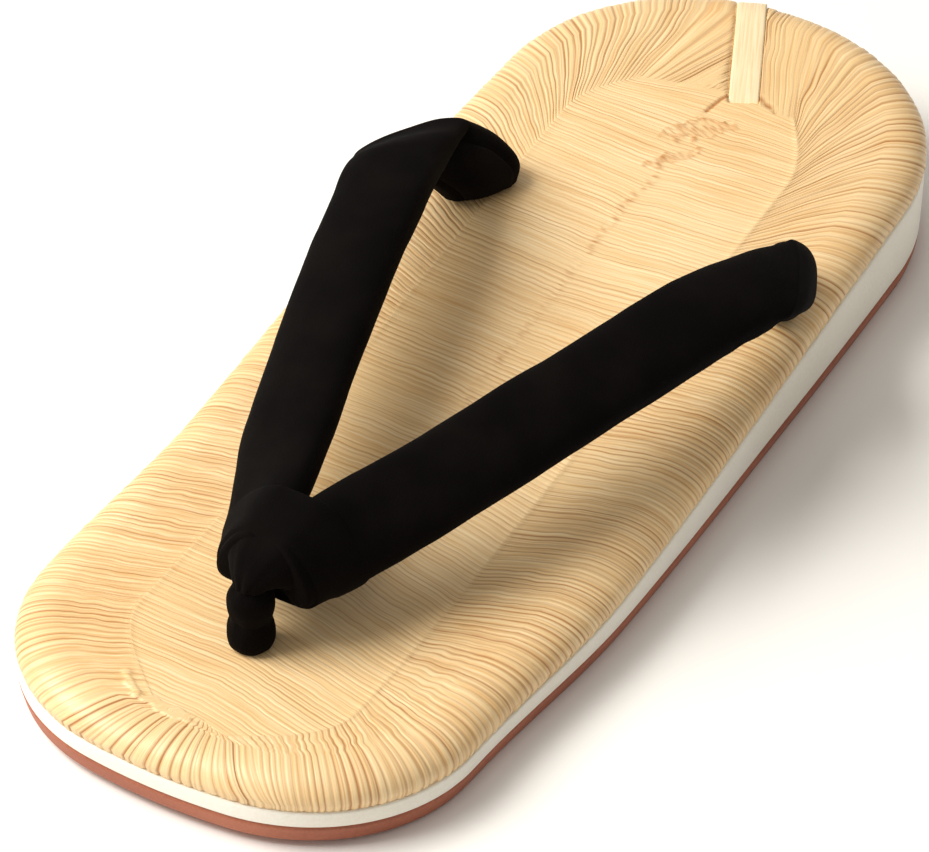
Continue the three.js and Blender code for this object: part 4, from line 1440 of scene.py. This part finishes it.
def spline(knots: np.ndarray, per_span: int) -> np.ndarray:
    """A smooth curve through knots, without overshoot at uneven spacing.

    Args:
        knots: Points to pass through.
        per_span: Steps between one knot and the next.

    Returns:
        Points along the curve, both ends included.
    """
    first, last = 2 * knots[0] - knots[1], 2 * knots[-1] - knots[-2]
    chain = np.concatenate([[first], knots, [last]])
    gaps = np.sqrt(np.maximum(np.linalg.norm(np.diff(chain, axis=0), axis=1), 1e-4))
    made = []
    for index in range(1, len(chain) - 2):
        a, b, c, d = chain[index - 1:index + 3]
        g0, g1, g2 = gaps[index - 1:index + 2]
        leave = ((b - a) / g0 - (c - a) / (g0 + g1) + (c - b) / g1) * g1
        arrive = ((c - b) / g1 - (d - b) / (g1 + g2) + (d - c) / g2) * g1
        for step in range(per_span):
            t = step / per_span
            made.append(
                (2 * t**3 - 3 * t**2 + 1) * b + (t**3 - 2 * t**2 + t) * leave
                + (3 * t**2 - 2 * t**3) * c + (t**3 - t**2) * arrive
            )
    made.append(knots[-1])
    return np.array(made)


class Side(Enum):
    """The two straps."""

    LEFT = -1
    RIGHT = 1


@dataclass
class StrapShape:
    """Rings of one padded strap: up from its rear hole, over a slanting fold, on to the post."""

    side: Side
    rear_y: float = 42.5
    rear_x: float = 5.0
    post_x: float = -1.5
    post_y: float = -97.0
    half_width: float = 9.8
    half_thickness: float = 4.9
    fold_half_width: float = 13.2
    fold_half_thickness: float = 3.0
    front_half_width: float = 7.4
    front_half_thickness: float = 4.2
    fold_reach: float = 24.0
    flap_steps: int = 40
    band_steps: int = 130
    around: int = 56
    squareness: float = 2.4
    # Distance out from the middle line, place along, rise above the footbed, tilt in degrees.
    band: tuple = (
        (43.9, 0.09, 18.8, 4), (40.6, 0.175, 21.8, 10), (37.7, 0.24, 23.4, 13),
        (28.6, 0.455, 23.6, 15), (15.8, 0.73, 21.2, 24), (8.0, 0.875, 18.9, 46),
        (5.2, 0.965, 17.6, 62),
    )
    # Out, along in mm, rise, half width, half thickness and the skin's direction there.
    flap: tuple = (
        (35.2, 42.7, 1.2, 8.2, 5.0, 0.86, 0.47, -0.15),
        (36.3, 42.0, 5.0, 10.2, 6.0, 0.86, 0.47, -0.15),
        (40.2, 38.0, 11.6, 11.9, 5.8, 0.86, 0.47, -0.10),
        (43.2, 32.4, 16.8, 12.8, 4.2, 0.80, 0.43, 0.20),
        (43.9, 29.95, 18.8, 13.2, 3.0, 0.69, 0.37, 0.62),
    )
    fold_direction: tuple = (0.48, -0.88, 0.0)

    def __post_init__(self) -> None:
        """Works out centre, width vector and thickness vector of each ring."""
        flap = np.array(self.flap)
        fold = np.array(self.fold_direction)
        centre = flap[:, :3].copy()
        centre[:, 2] += HEIGHTS.footbed(centre[:, 1])
        skin = unit(flap[:, 5:8])
        rings = np.concatenate([
            centre, flap[:, 3:4] * fold, flap[:, 4:5] * skin,
        ], 1)
        rings = spline(rings, self.flap_steps // (len(flap) - 1))
        band_rings = self._band_rings(fold, rings[-1, 6:9])
        rings = np.concatenate([rings[:-1], band_rings])
        self.centre, self.wide, self.thick = rings[:, :3], rings[:, 3:6], rings[:, 6:9]
        steps = np.linalg.norm(np.diff(self.centre, axis=0), axis=1)
        self.distance = np.concatenate([[0], np.cumsum(steps)])
        self.steps = len(rings) - 1

    def _band_rings(self, fold: np.ndarray, fold_skin: np.ndarray) -> np.ndarray:
        """Rings of the long flat part, slanting into the fold at its rear end."""
        out, along, rise, tilt = np.array(self.band, float).T
        y = lerp(self.rear_y, self.post_y, along)
        knots = np.stack([out, y, HEIGHTS.footbed(y) + rise], -1)
        curve = spline(knots, 60)
        turn = np.interp(np.linspace(0, len(knots) - 1, len(curve)), range(len(knots)), tilt)
        length = np.concatenate([[0], np.cumsum(np.linalg.norm(np.diff(curve, axis=0), axis=1))])
        share = np.linspace(0, 1, self.band_steps + 1)
        at = share * length[-1]
        centre = np.stack([np.interp(at, length, curve[:, k]) for k in range(3)], -1)
        tilts = np.interp(at, length, turn)
        forward = unit(np.gradient(centre, axis=0))
        level = unit(np.array([1.0, 0, 0]) - forward[:, :1] * forward)
        turned = -np.radians(tilts)[:, None]
        across = level * np.cos(turned) + np.cross(forward, level) * np.sin(turned)
        up = np.cross(forward, across)
        front = smoothstep(share, 0.9, 1)[:, None]
        wide = across * lerp(self.half_width, self.front_half_width, front)
        thick = up * lerp(self.half_thickness, self.front_half_thickness, front)
        near = np.clip(1 - at / self.fold_reach, 0, 1)[:, None]
        wide = lerp(wide, fold * self.fold_half_width, near)
        close = (1 - smoothstep(at, 0, 7))[:, None]
        slim = lerp(1, self.fold_half_thickness / self.half_thickness, 1 - smoothstep(at, 0, 12))
        thick = lerp(thick * slim[:, None], fold_skin, close)
        return np.concatenate([centre, wide, thick], 1)

    def surface(self, angles: np.ndarray, grow: float | np.ndarray) -> np.ndarray:
        """Points of the strap's skin.

        Args:
            angles: Angles round the section; 90 degrees is the top.
            grow: How far outside the nominal skin the points lie.

        Returns:
            Points by ring and angle.
        """
        cos, sin = np.cos(angles), np.sin(angles)
        power = 2 / self.squareness
        round_x = np.sign(cos) * np.abs(cos) ** power
        round_y = np.sign(sin) * np.abs(sin) ** power
        distance = self.distance[:, None]
        puff = 0.16 * soft_noise(distance / 13, angles * 1.4 + self.side.value * 9, 41)
        puff = puff + 0.07 * soft_noise(distance / 4.5, angles * 2.5 + self.side.value * 9, 42)
        near_hole = 1 - smoothstep(distance, 0, 16)
        gathers = 0.22 * near_hole * soft_noise(angles * 3.2, distance / 30, 43)
        skin = grow + puff + gathers
        half_wide = np.linalg.norm(self.wide, axis=1)[:, None]
        half_thick = np.linalg.norm(self.thick, axis=1)[:, None]
        x = (1 + skin / half_wide) * round_x
        z = (1 + skin / half_thick) * round_y
        points = (
            self.centre[:, None]
            + x[..., None] * self.wide[:, None]
            + z[..., None] * self.thick[:, None]
        )
        middle = lerp(self.rear_x, self.post_x, (self.rear_y - points[..., 1]) / (self.rear_y - self.post_y))
        points[..., 0] = middle + self.side.value * points[..., 0]
        return points

    def facing(self, faces: list) -> list:
        """Faces turned the right way out for this side."""
        return faces if self.side is Side.RIGHT else [face[::-1] for face in faces]


@dataclass
class Strap:
    """One velvet strap: its padded cover and the lining sewn along its underside."""

    side: Side
    lining_half_angle: float = 38.0
    seam_half_angle: float = 41.5

    def __post_init__(self) -> None:
        """Prepares the shared shape."""
        self.shape = StrapShape(self.side)
        self.label = self.side.name.lower()

    def build(self) -> None:
        """Builds the cover, the lining and the padding."""
        self._cover()
        self._lining()
        self._padding()

    def _padding(self) -> bpy.types.Object:
        """The cotton padding inside the cover."""
        shape = self.shape
        angles = np.linspace(0, 2 * math.pi, 40, endpoint=False)
        rings = shape.surface(angles, -1.3)[2:-2]
        rows, columns = rings.shape[:2]
        points, faces = self.shut(rings.reshape(-1, 3), grid_faces(rows, columns), columns, rows)
        name = f"cotton_padding_{self.label}"
        padding = make_object(name, points, shape.facing(faces), COTTON)
        return finish_piece(padding, "cotton_padding", f"strap_padding_{self.label}")

    def _cover(self) -> bpy.types.Object:
        """The velvet tube, nipped in along the two seams below."""
        shape = self.shape
        angles = np.linspace(0, 2 * math.pi, shape.around, endpoint=False)
        grow = np.zeros(shape.around)
        for seam in (-self.seam_half_angle, self.seam_half_angle):
            gap = np.degrees(angles) - (270 + seam)
            grow -= 0.4 * np.exp(-((gap / 5) ** 2))
        below = np.abs(np.degrees(angles) - 270) < self.lining_half_angle
        grow = np.where(below, grow - 0.5, grow)
        points = shape.surface(angles, grow)
        faces = grid_faces(shape.steps + 1, shape.around)
        flat, faces = self.shut(points.reshape(-1, 3), faces, shape.around, shape.steps + 1)
        cover = make_object(f"velvet_strap_{self.label}", flat, shape.facing(faces), VELVET)
        return finish_piece(cover, "black_velvet", f"strap_cover_{self.label}")

    @staticmethod
    def shut(points: np.ndarray, faces: list, columns: int, rows: int) -> tuple[np.ndarray, list]:
        """Rounds off both ends of a tube.

        Args:
            points: The tube's points, ring by ring.
            faces: Its faces.
            columns: Points in a ring.
            rows: Number of rings.

        Returns:
            The points and faces with two shut ends.
        """
        shut = [points]
        count = len(points)
        for ring, inner, flip in ((0, 1, True), (rows - 1, rows - 2, False)):
            edge = points[ring * columns:(ring + 1) * columns]
            before = points[inner * columns:(inner + 1) * columns]
            centre = edge.mean(0)
            ahead = unit(centre - before.mean(0))
            last = np.arange(ring * columns, (ring + 1) * columns)
            for scale, push in ((0.86, 0.35), (0.55, 0.6), (0.2, 0.65)):
                made = centre + (edge - centre) * scale + ahead * push
                shut.append(made)
                new = count + np.arange(columns)
                after = (np.arange(columns) + 1) % columns
                quads = np.stack([last, last[after], new[after], new], -1)
                faces += (quads[:, ::-1] if flip else quads).tolist()
                last = new
                count += columns
            shut.append((centre + ahead * 0.66)[None])
            tip = count
            count += 1
            after = (np.arange(columns) + 1) % columns
            for a, b in zip(last, last[after]):
                faces.append([int(b), int(a), tip] if flip else [int(a), int(b), tip])
        return np.concatenate(shut), faces

    def _lining(self) -> bpy.types.Object:
        """The thin cloth strip along the underside."""
        shape = self.shape
        half = math.radians(self.lining_half_angle)
        spread = np.linspace(-half, half, 13) + 1.5 * math.pi
        outer = shape.surface(spread, -0.15)
        inner = shape.surface(spread[::-1], -0.8)
        rings = np.concatenate([outer, inner], 1)
        columns = rings.shape[1]
        faces = grid_faces(shape.steps + 1, columns)
        faces.append(list(range(columns))[::-1])
        faces.append([shape.steps * columns + step for step in range(columns)])
        lining = make_object(
            f"strap_underside_{self.label}", rings.reshape(-1, 3), shape.facing(faces), LINING,
        )
        return finish_piece(lining, "black_lining", f"strap_lining_{self.label}")


# ---------------------------------------------------------------- toe post and wrap


@dataclass
class ToePost:
    """The velvet post between the toes: two swellings and a neck, with gathered folds."""

    x: float = -2.1
    y: float = -95.7
    around: int = 64
    # Heights above the footbed and radii there.
    profile: tuple = (
        (0.0, 3.7), (0.8, 4.3), (2.2, 4.75), (4.2, 4.75), (6.0, 4.4), (7.2, 4.15), (8.4, 4.4),
        (10.4, 4.75), (12.6, 4.6), (14.2, 3.9), (15.4, 3.2), (16.6, 2.9),
    )

    def padding(self) -> bpy.types.Object:
        """Builds the cotton inside the post."""
        knots = np.array([(radius - 0.9, 0.0, rise) for rise, radius in self.profile[1:-1]])
        curve = spline(knots, 4)
        angles = np.linspace(0, 2 * math.pi, 32, endpoint=False)
        reach = np.maximum(curve[:, 0:1], 2.0)
        base = float(HEIGHTS.footbed(self.y)) + 0.15
        points = np.stack([
            self.x + reach * np.cos(angles),
            self.y + reach * np.sin(angles),
            base + np.broadcast_to(curve[:, 2:3], (len(curve), len(angles))),
        ], -1)
        faces = grid_faces(len(curve), len(angles))
        flat, faces = Strap.shut(points.reshape(-1, 3), faces, len(angles), len(curve))
        padding = make_object("cotton_post_padding", flat, faces, COTTON)
        return finish_piece(padding, "cotton_padding", "toe_post_padding")

    def build(self) -> bpy.types.Object:
        """Builds the post."""
        knots = np.array([(radius, 0.0, rise) for rise, radius in self.profile])
        curve = spline(knots, 8)
        angles = np.linspace(0, 2 * math.pi, self.around, endpoint=False)
        rise, radius = curve[:, 2:3], curve[:, 0:1]
        fold = 0.16 * soft_noise(angles * 2.2, rise / 3.0, 51)
        nip = 0.14 * np.exp(-(((rise - 7.2) / 0.8) ** 2)) * np.cos(angles * 6)
        gather = 0.16 * smoothstep(rise, 12.5, 15.5) * np.cos(angles * 8 + 0.7)
        reach = radius + fold + nip + gather
        base = float(HEIGHTS.footbed(self.y))
        x = self.x + reach * np.cos(angles)
        y = self.y + reach * np.sin(angles)
        z = base + 0.15 + np.broadcast_to(rise, x.shape)
        points = np.stack([x, y, z], -1)
        rows = len(curve)
        faces = grid_faces(rows, self.around)
        flat, faces = Strap.shut(points.reshape(-1, 3), faces, self.around, rows)
        post = make_object("velvet_toe_post", flat, faces, VELVET)
        return finish_piece(post, "black_velvet", "toe_post_cover")


@dataclass
class Wrap:
    """The velvet hood that leads up from the post's neck over both strap ends."""

    straps: list[StrapShape]
    neck_x: float = -2.1
    neck_y: float = -95.7
    neck_rise: float = 15.6
    neck_radius: float = 3.6
    around: int = 96
    loose: float = 0.75
    turn_steps: int = 18
    # Places along the straps where the hood hugs them, from its mouth to the front.
    hugging: tuple = (-79.5, -80.6, -82.5, -84.8, -87.2, -89.4, -91.2)

    def _hugging_ring(self, y: float, angles: np.ndarray) -> tuple[np.ndarray, np.ndarray]:
        """Centre and reach of a ring stretched round both straps.

        Args:
            y: Place along the sole.
            angles: Directions; a quarter turn points down.

        Returns:
            The centre in x and z, and the reach in each direction.
        """
        section = np.linspace(0, 2 * math.pi, 48, endpoint=False)
        clouds = []
        for shape in self.straps:
            ring = int(np.abs(shape.centre[:, 1] - y).argmin())
            clouds.append(shape.surface(section, 0.0)[ring][:, [0, 2]])
        cloud = np.concatenate(clouds)
        centre = (cloud.max(0) + cloud.min(0)) / 2
        away = cloud - centre
        facing = np.linspace(0, 2 * math.pi, 180, endpoint=False)
        ways = np.stack([np.cos(facing), -np.sin(facing)], -1)
        support = (away @ ways.T).max(0) + self.loose
        slant = np.cos(angles[:, None] - facing[None, :])
        reach = np.where(slant > 0.05, support[None, :] / np.maximum(slant, 0.05), 1e9).min(1)
        return centre, reach

    def build(self) -> bpy.types.Object:
        """Builds the hood, hollow at its rear edge where the straps go in."""
        angles = np.linspace(0, 2 * math.pi, self.around, endpoint=False)
        cos, sin = np.cos(angles), np.sin(angles)
        rings = []
        for y in self.hugging:
            centre, reach = self._hugging_ring(y, angles)
            mouth = smoothstep(y, self.hugging[0] - 1.6, self.hugging[0])
            reach = reach - 0.35 * float(mouth)
            rings.append(np.stack([
                centre[0] + reach * cos, np.full(self.around, y), centre[1] - reach * sin,
            ], -1))
        neck_z = float(HEIGHTS.footbed(self.neck_y)) + self.neck_rise
        for step in range(1, self.turn_steps + 1):
            share = step / self.turn_steps
            turn = math.pi / 2 * (1 - share)
            slim = float(smoothstep(share, -0.25, 1.0))
            size = lerp(reach, self.neck_radius, slim**0.8)
            middle = lerp(
                np.array([centre[0], self.hugging[-1], centre[1]]),
                np.array([self.neck_x, self.neck_y, neck_z]),
                math.sin(share * math.pi / 2),
            )
            rings.append(np.stack([
                middle[0] + size * cos,
                middle[1] + size * sin * math.cos(turn),
                middle[2] - size * sin * math.sin(turn),
            ], -1))
        points = np.array(rings)
        climb = np.linspace(0, 1, len(points))[:, None]
        outward = unit(points - points.mean(1, keepdims=True))
        fold = 0.22 * soft_noise(angles * 2.6, climb * 3, 55) * np.sin(climb * math.pi)
        for place, drift, depth, width in (
            (4.15, 0.5, 0.3, 0.16), (4.8, -0.3, 0.22, 0.13), (5.6, -0.5, 0.26, 0.15), (3.6, 0.6, 0.2, 0.12),
        ):
            fold = fold - depth * np.exp(-(((angles - place - drift * climb) / width) ** 2)) * climb
        points = points + outward * fold[..., None]
        mouth_ring = points[0]
        centre = mouth_ring.mean(0)
        inside = []
        for scale, push in ((0.985, 0.25), (0.95, 0.1), (0.92, -0.8), (0.9, -2.5)):
            inside.append(centre + (mouth_ring - centre) * scale + np.array([0, push, 0]))
        points = np.concatenate([np.array(inside[::-1]), points])
        faces = grid_faces(len(points), self.around)
        faces.append(list(range(self.around))[::-1])
        faces.append([(len(points) - 1) * self.around + step for step in range(self.around)])
        hood = make_object("velvet_wrap", points.reshape(-1, 3), faces, VELVET)
        return finish_piece(hood, "black_velvet", "strap_wrap")


# ---------------------------------------------------------------- cords


@dataclass
class Cords:
    """Hemp cords inside: one through both straps, one up the post and round the first."""

    straps: list[StrapShape]
    radius: float = 1.8
    loop_radius: float = 1.15
    knot_radius: float = 5.0
    knot_height: float = 3.6
    well_recess: float = 2.0
    washer_stack: float = 1.8
    toe_x: float = -1.5
    toe_y: float = -97.0
    around: int = 20
    crossing: tuple[float, float, float] = (-1.7, -92.9, 34.6)

    def _knot_middle(self, y: float) -> float:
        """Height of the middle of a knot in its well."""
        return float(HEIGHTS.seam(y)) + self.well_recess - self.washer_stack - self.knot_height / 2

    def _knot_run(self, x: float, y: float, top: float) -> tuple[np.ndarray, np.ndarray]:
        """Points and radii of a knot and its straight leg, from the bottom up."""
        middle = self._knot_middle(y)
        half = self.knot_height / 2
        levels = np.concatenate([np.linspace(-0.97, 1.0, 14) * half, [half + 0.6]])
        bulge = self.knot_radius * np.sqrt(np.maximum(1 - (levels / half) ** 2, 0))
        radii = np.maximum(bulge, np.where(levels < 0, 0.8, self.radius))
        legs = np.linspace(middle + half + 1.2, top, 12)
        heights = np.concatenate([middle + levels, legs])
        radii = np.concatenate([radii, np.full(len(legs), self.radius)])
        places = np.stack([np.full(len(heights), x), np.full(len(heights), y), heights], -1)
        return places, radii

    def _tube(self, name: str, places: np.ndarray, radii: np.ndarray, node: str) -> bpy.types.Object:
        """A tube of varying radius that rides for a node."""
        ahead = unit(np.gradient(places, axis=0))
        side = np.array([1.0, 0.0, 0.0])
        rings = []
        angles = np.linspace(0, 2 * math.pi, self.around, endpoint=False)
        for place, way, radius in zip(places, ahead, radii):
            side = side - way * (side @ way)
            side = side / np.linalg.norm(side)
            other = np.cross(way, side)
            circle = np.cos(angles)[:, None] * side + np.sin(angles)[:, None] * other
            rings.append(place + circle * radius)
        points = np.array(rings)
        faces = grid_faces(len(points), self.around)
        faces.append(list(range(self.around))[::-1])
        faces.append([(len(points) - 1) * self.around + step for step in range(self.around)])
        cord = make_object(name, points.reshape(-1, 3), faces, HEMP)
        return finish_piece(cord, "hemp_cord", node)

    def build(self) -> None:
        """Builds both cords."""
        runs = []
        for shape in self.straps:
            middle = lerp(
                shape.rear_x, shape.post_x,
                (shape.rear_y - shape.centre[:, 1]) / (shape.rear_y - shape.post_y),
            )
            line = shape.centre.copy()
            line[:, 0] = middle + shape.side.value * line[:, 0]
            room = np.linalg.norm(shape.thick, axis=1) * 0.36
            radii = np.minimum(self.radius, room)
            at_x = shape.rear_x + shape.side.value * 34.75
            top = float(HEIGHTS.footbed(shape.rear_y))
            leg, leg_radii = self._knot_run(at_x, shape.rear_y, top - 0.8)
            runs.append((np.concatenate([leg, line[4:-3]]), np.concatenate([leg_radii, radii[4:-3]])))
        (left, left_radii), (right, right_radii) = runs
        bridge = spline(np.array([left[-1], self.crossing, right[-1]]), 8)[1:-1]
        places = np.concatenate([left, bridge, right[::-1]])
        radii = np.concatenate([left_radii, np.full(len(bridge), 1.5), right_radii[::-1]])
        self._tube("hemp_strap_cord", places, radii, "strap_cord")
        leg, leg_radii = self._knot_run(self.toe_x, self.toe_y, 20.0)
        loop = []
        for degrees in np.linspace(205, 205 - 325, 36):
            turn = math.radians(degrees)
            reach = 1.5 + self.loop_radius + 0.2
            loop.append((
                self.crossing[0] + 0.9 * (205 - degrees) / 325,
                self.crossing[1] + reach * math.cos(turn),
                self.crossing[2] + reach * math.sin(turn),
            ))
        rise = spline(np.array([leg[-1], (-1.9, -96.2, 26.0), (-1.9, -95.9, 31.0), loop[0]]), 8)[1:-1]
        places = np.concatenate([leg, rise, np.array(loop)])
        slim = np.linspace(self.radius, self.loop_radius, len(rise))
        radii = np.concatenate([leg_radii, slim, np.full(len(loop), self.loop_radius)])
        self._tube("hemp_toe_cord", places, radii, "toe_cord")


# ---------------------------------------------------------------- hidden pieces


@dataclass
class HiddenPieces:
    """Pieces inside the sandal, which keep their frame shape and get their finish here."""

    finishes: dict[str, bpy.types.Material] = field(default_factory=lambda: {
        "footbed_core": CORE,
        "front_washer": LEATHER,
        "rear_washer_left": LEATHER,
        "rear_washer_right": LEATHER,
    })

    def dress(self) -> None:
        """Gives each hidden piece its material."""
        for name, material in self.finishes.items():
            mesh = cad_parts[name].data
            mesh.materials.clear()
            mesh.materials.append(material)
            log.info("%s: dressed in %s", name, material.name)


# ---------------------------------------------------------------- studio


@dataclass
class Studio:
    """Camera, pale floor and soft light."""

    azimuth: float = 28.49
    elevation: float = 39.85
    roll: float = -1.98
    distance: float = 1278.34
    lens: float = 242.6
    target: tuple[float, float, float] = (-2.8, -10.45, 10.0)
    surround_colour: tuple = (1.0, 0.94, 0.86, 1)
    surround_bright_side: tuple = (-0.75, -0.25, 0.61)
    surround_low: float = 0.05
    surround_high: float = 0.72

    def camera(self) -> None:
        """Places the camera."""
        turn, lift, roll = (math.radians(a) for a in (self.azimuth, self.elevation, self.roll))
        right = Vector((math.cos(turn), math.sin(turn), 0))
        back = Vector((math.sin(turn) * math.cos(lift), -math.cos(turn) * math.cos(lift), math.sin(lift)))
        up = back.cross(right)
        rolled_right = right * math.cos(roll) - up * math.sin(roll)
        rolled_up = right * math.sin(roll) + up * math.cos(roll)
        data = bpy.data.cameras.new("view")
        data.lens = self.lens
        camera = bpy.data.objects.new("view", data)
        place = (Vector(self.target) + back * self.distance) * MM
        turned = Matrix((rolled_right, rolled_up, back)).transposed()
        camera.matrix_world = Matrix.Translation(place) @ turned.to_4x4()
        bpy.context.scene.collection.objects.link(camera)
        bpy.context.scene.camera = camera

    def lamp(self, name: str, place: tuple, size: float, power: float, colour: tuple) -> None:
        """A square soft light aimed at the sandal.

        Args:
            name: Name of the light.
            place: Where it hangs, in metres.
            size: Its side, in metres.
            power: Its power, in watts.
            colour: Its colour.
        """
        data = bpy.data.lights.new(name, "AREA")
        data.size = size
        data.energy = power
        data.color = colour
        light = bpy.data.objects.new(name, data)
        light.location = place
        aim = Vector((0, 0, 0.02)) - Vector(place)
        light.rotation_euler = aim.to_track_quat("-Z", "Y").to_euler()
        bpy.context.scene.collection.objects.link(light)

    def floor(self) -> None:
        """A pale floor with softly rounded far edges."""
        mesh = bpy.data.meshes.new("floor")
        half, steps = 2.5, 24
        line = np.linspace(-half, half, steps + 1)
        x, y = np.meshgrid(line, line)
        z = 0.12 * smoothstep(np.hypot(x, y), 1.6, 3.4)
        points = np.stack([x, y, z], -1).reshape(-1, 3)
        faces = []
        for row in range(steps):
            for column in range(steps):
                a = row * (steps + 1) + column
                faces.append([a, a + 1, a + steps + 2, a + steps + 1])
        mesh.from_pydata(points.tolist(), [], faces)
        mesh.polygons.foreach_set("use_smooth", np.ones(len(faces), bool))
        recipe = Recipe("pale_floor")
        grain = recipe.group(SPECKLE, recipe.place(), Speck_Scale=60, Blotch_Scale=2, Contrast=0.4)
        recipe.colour(recipe.ramp(
            grain.outputs["Blotch"], [(0.3, linear(246, 245, 243)), (0.7, linear(250, 250, 249))],
        ))
        recipe.set(Roughness=0.9, Specular_IOR_Level=0.1)
        mesh.materials.append(recipe.material)
        ground = bpy.data.objects.new("floor", mesh)
        bpy.context.scene.collection.objects.link(ground)

    def light(self) -> None:
        """Key from the upper left, in an even, slightly warm surround."""
        self.lamp("key", (-0.76, -0.50, 1.02), 0.8, 22.5, (1.0, 0.965, 0.905))
        world = bpy.data.worlds.new("surround")
        world.use_nodes = True
        tree = world.node_tree
        background = tree.nodes["Background"]
        background.inputs["Color"].default_value = self.surround_colour
        # The surround is brightest on the side that the key stands on.
        way = add_node(tree, "ShaderNodeVectorMath", operation="DOT_PRODUCT")
        way.inputs[1].default_value = self.surround_bright_side
        tree.links.new(add_node(tree, "ShaderNodeTexCoord").outputs["Generated"], way.inputs[0])
        spread = add_node(tree, "ShaderNodeMapRange")
        spread.inputs["From Min"].default_value = -1.0
        spread.inputs["To Min"].default_value = self.surround_low
        spread.inputs["To Max"].default_value = self.surround_high
        tree.links.new(way.outputs["Value"], spread.inputs["Value"])
        tree.links.new(spread.outputs["Result"], background.inputs["Strength"])
        bpy.context.scene.world = world
        bpy.context.scene.view_settings.view_transform = "Standard"

    def build(self) -> None:
        """Sets up the whole studio."""
        self.camera()
        self.floor()
        self.light()


# ---------------------------------------------------------------- the sandal


def main() -> None:
    """Builds the sandal and its studio, piece by piece."""
    logging.basicConfig(level=logging.INFO, format="%(name)s: %(message)s")
    Studio().build()
    WovenCover().build()
    HEEL_STRIP.build()
    FoamWedge().build()
    Outsole().build()
    straps = [Strap(side) for side in Side]
    for strap in straps:
        strap.build()
    post = ToePost()
    post.build()
    post.padding()
    shapes = [strap.shape for strap in straps]
    Wrap(shapes).build()
    Cords(shapes).build()
    HiddenPieces().dress()


if __name__ == "__main__":
    main()
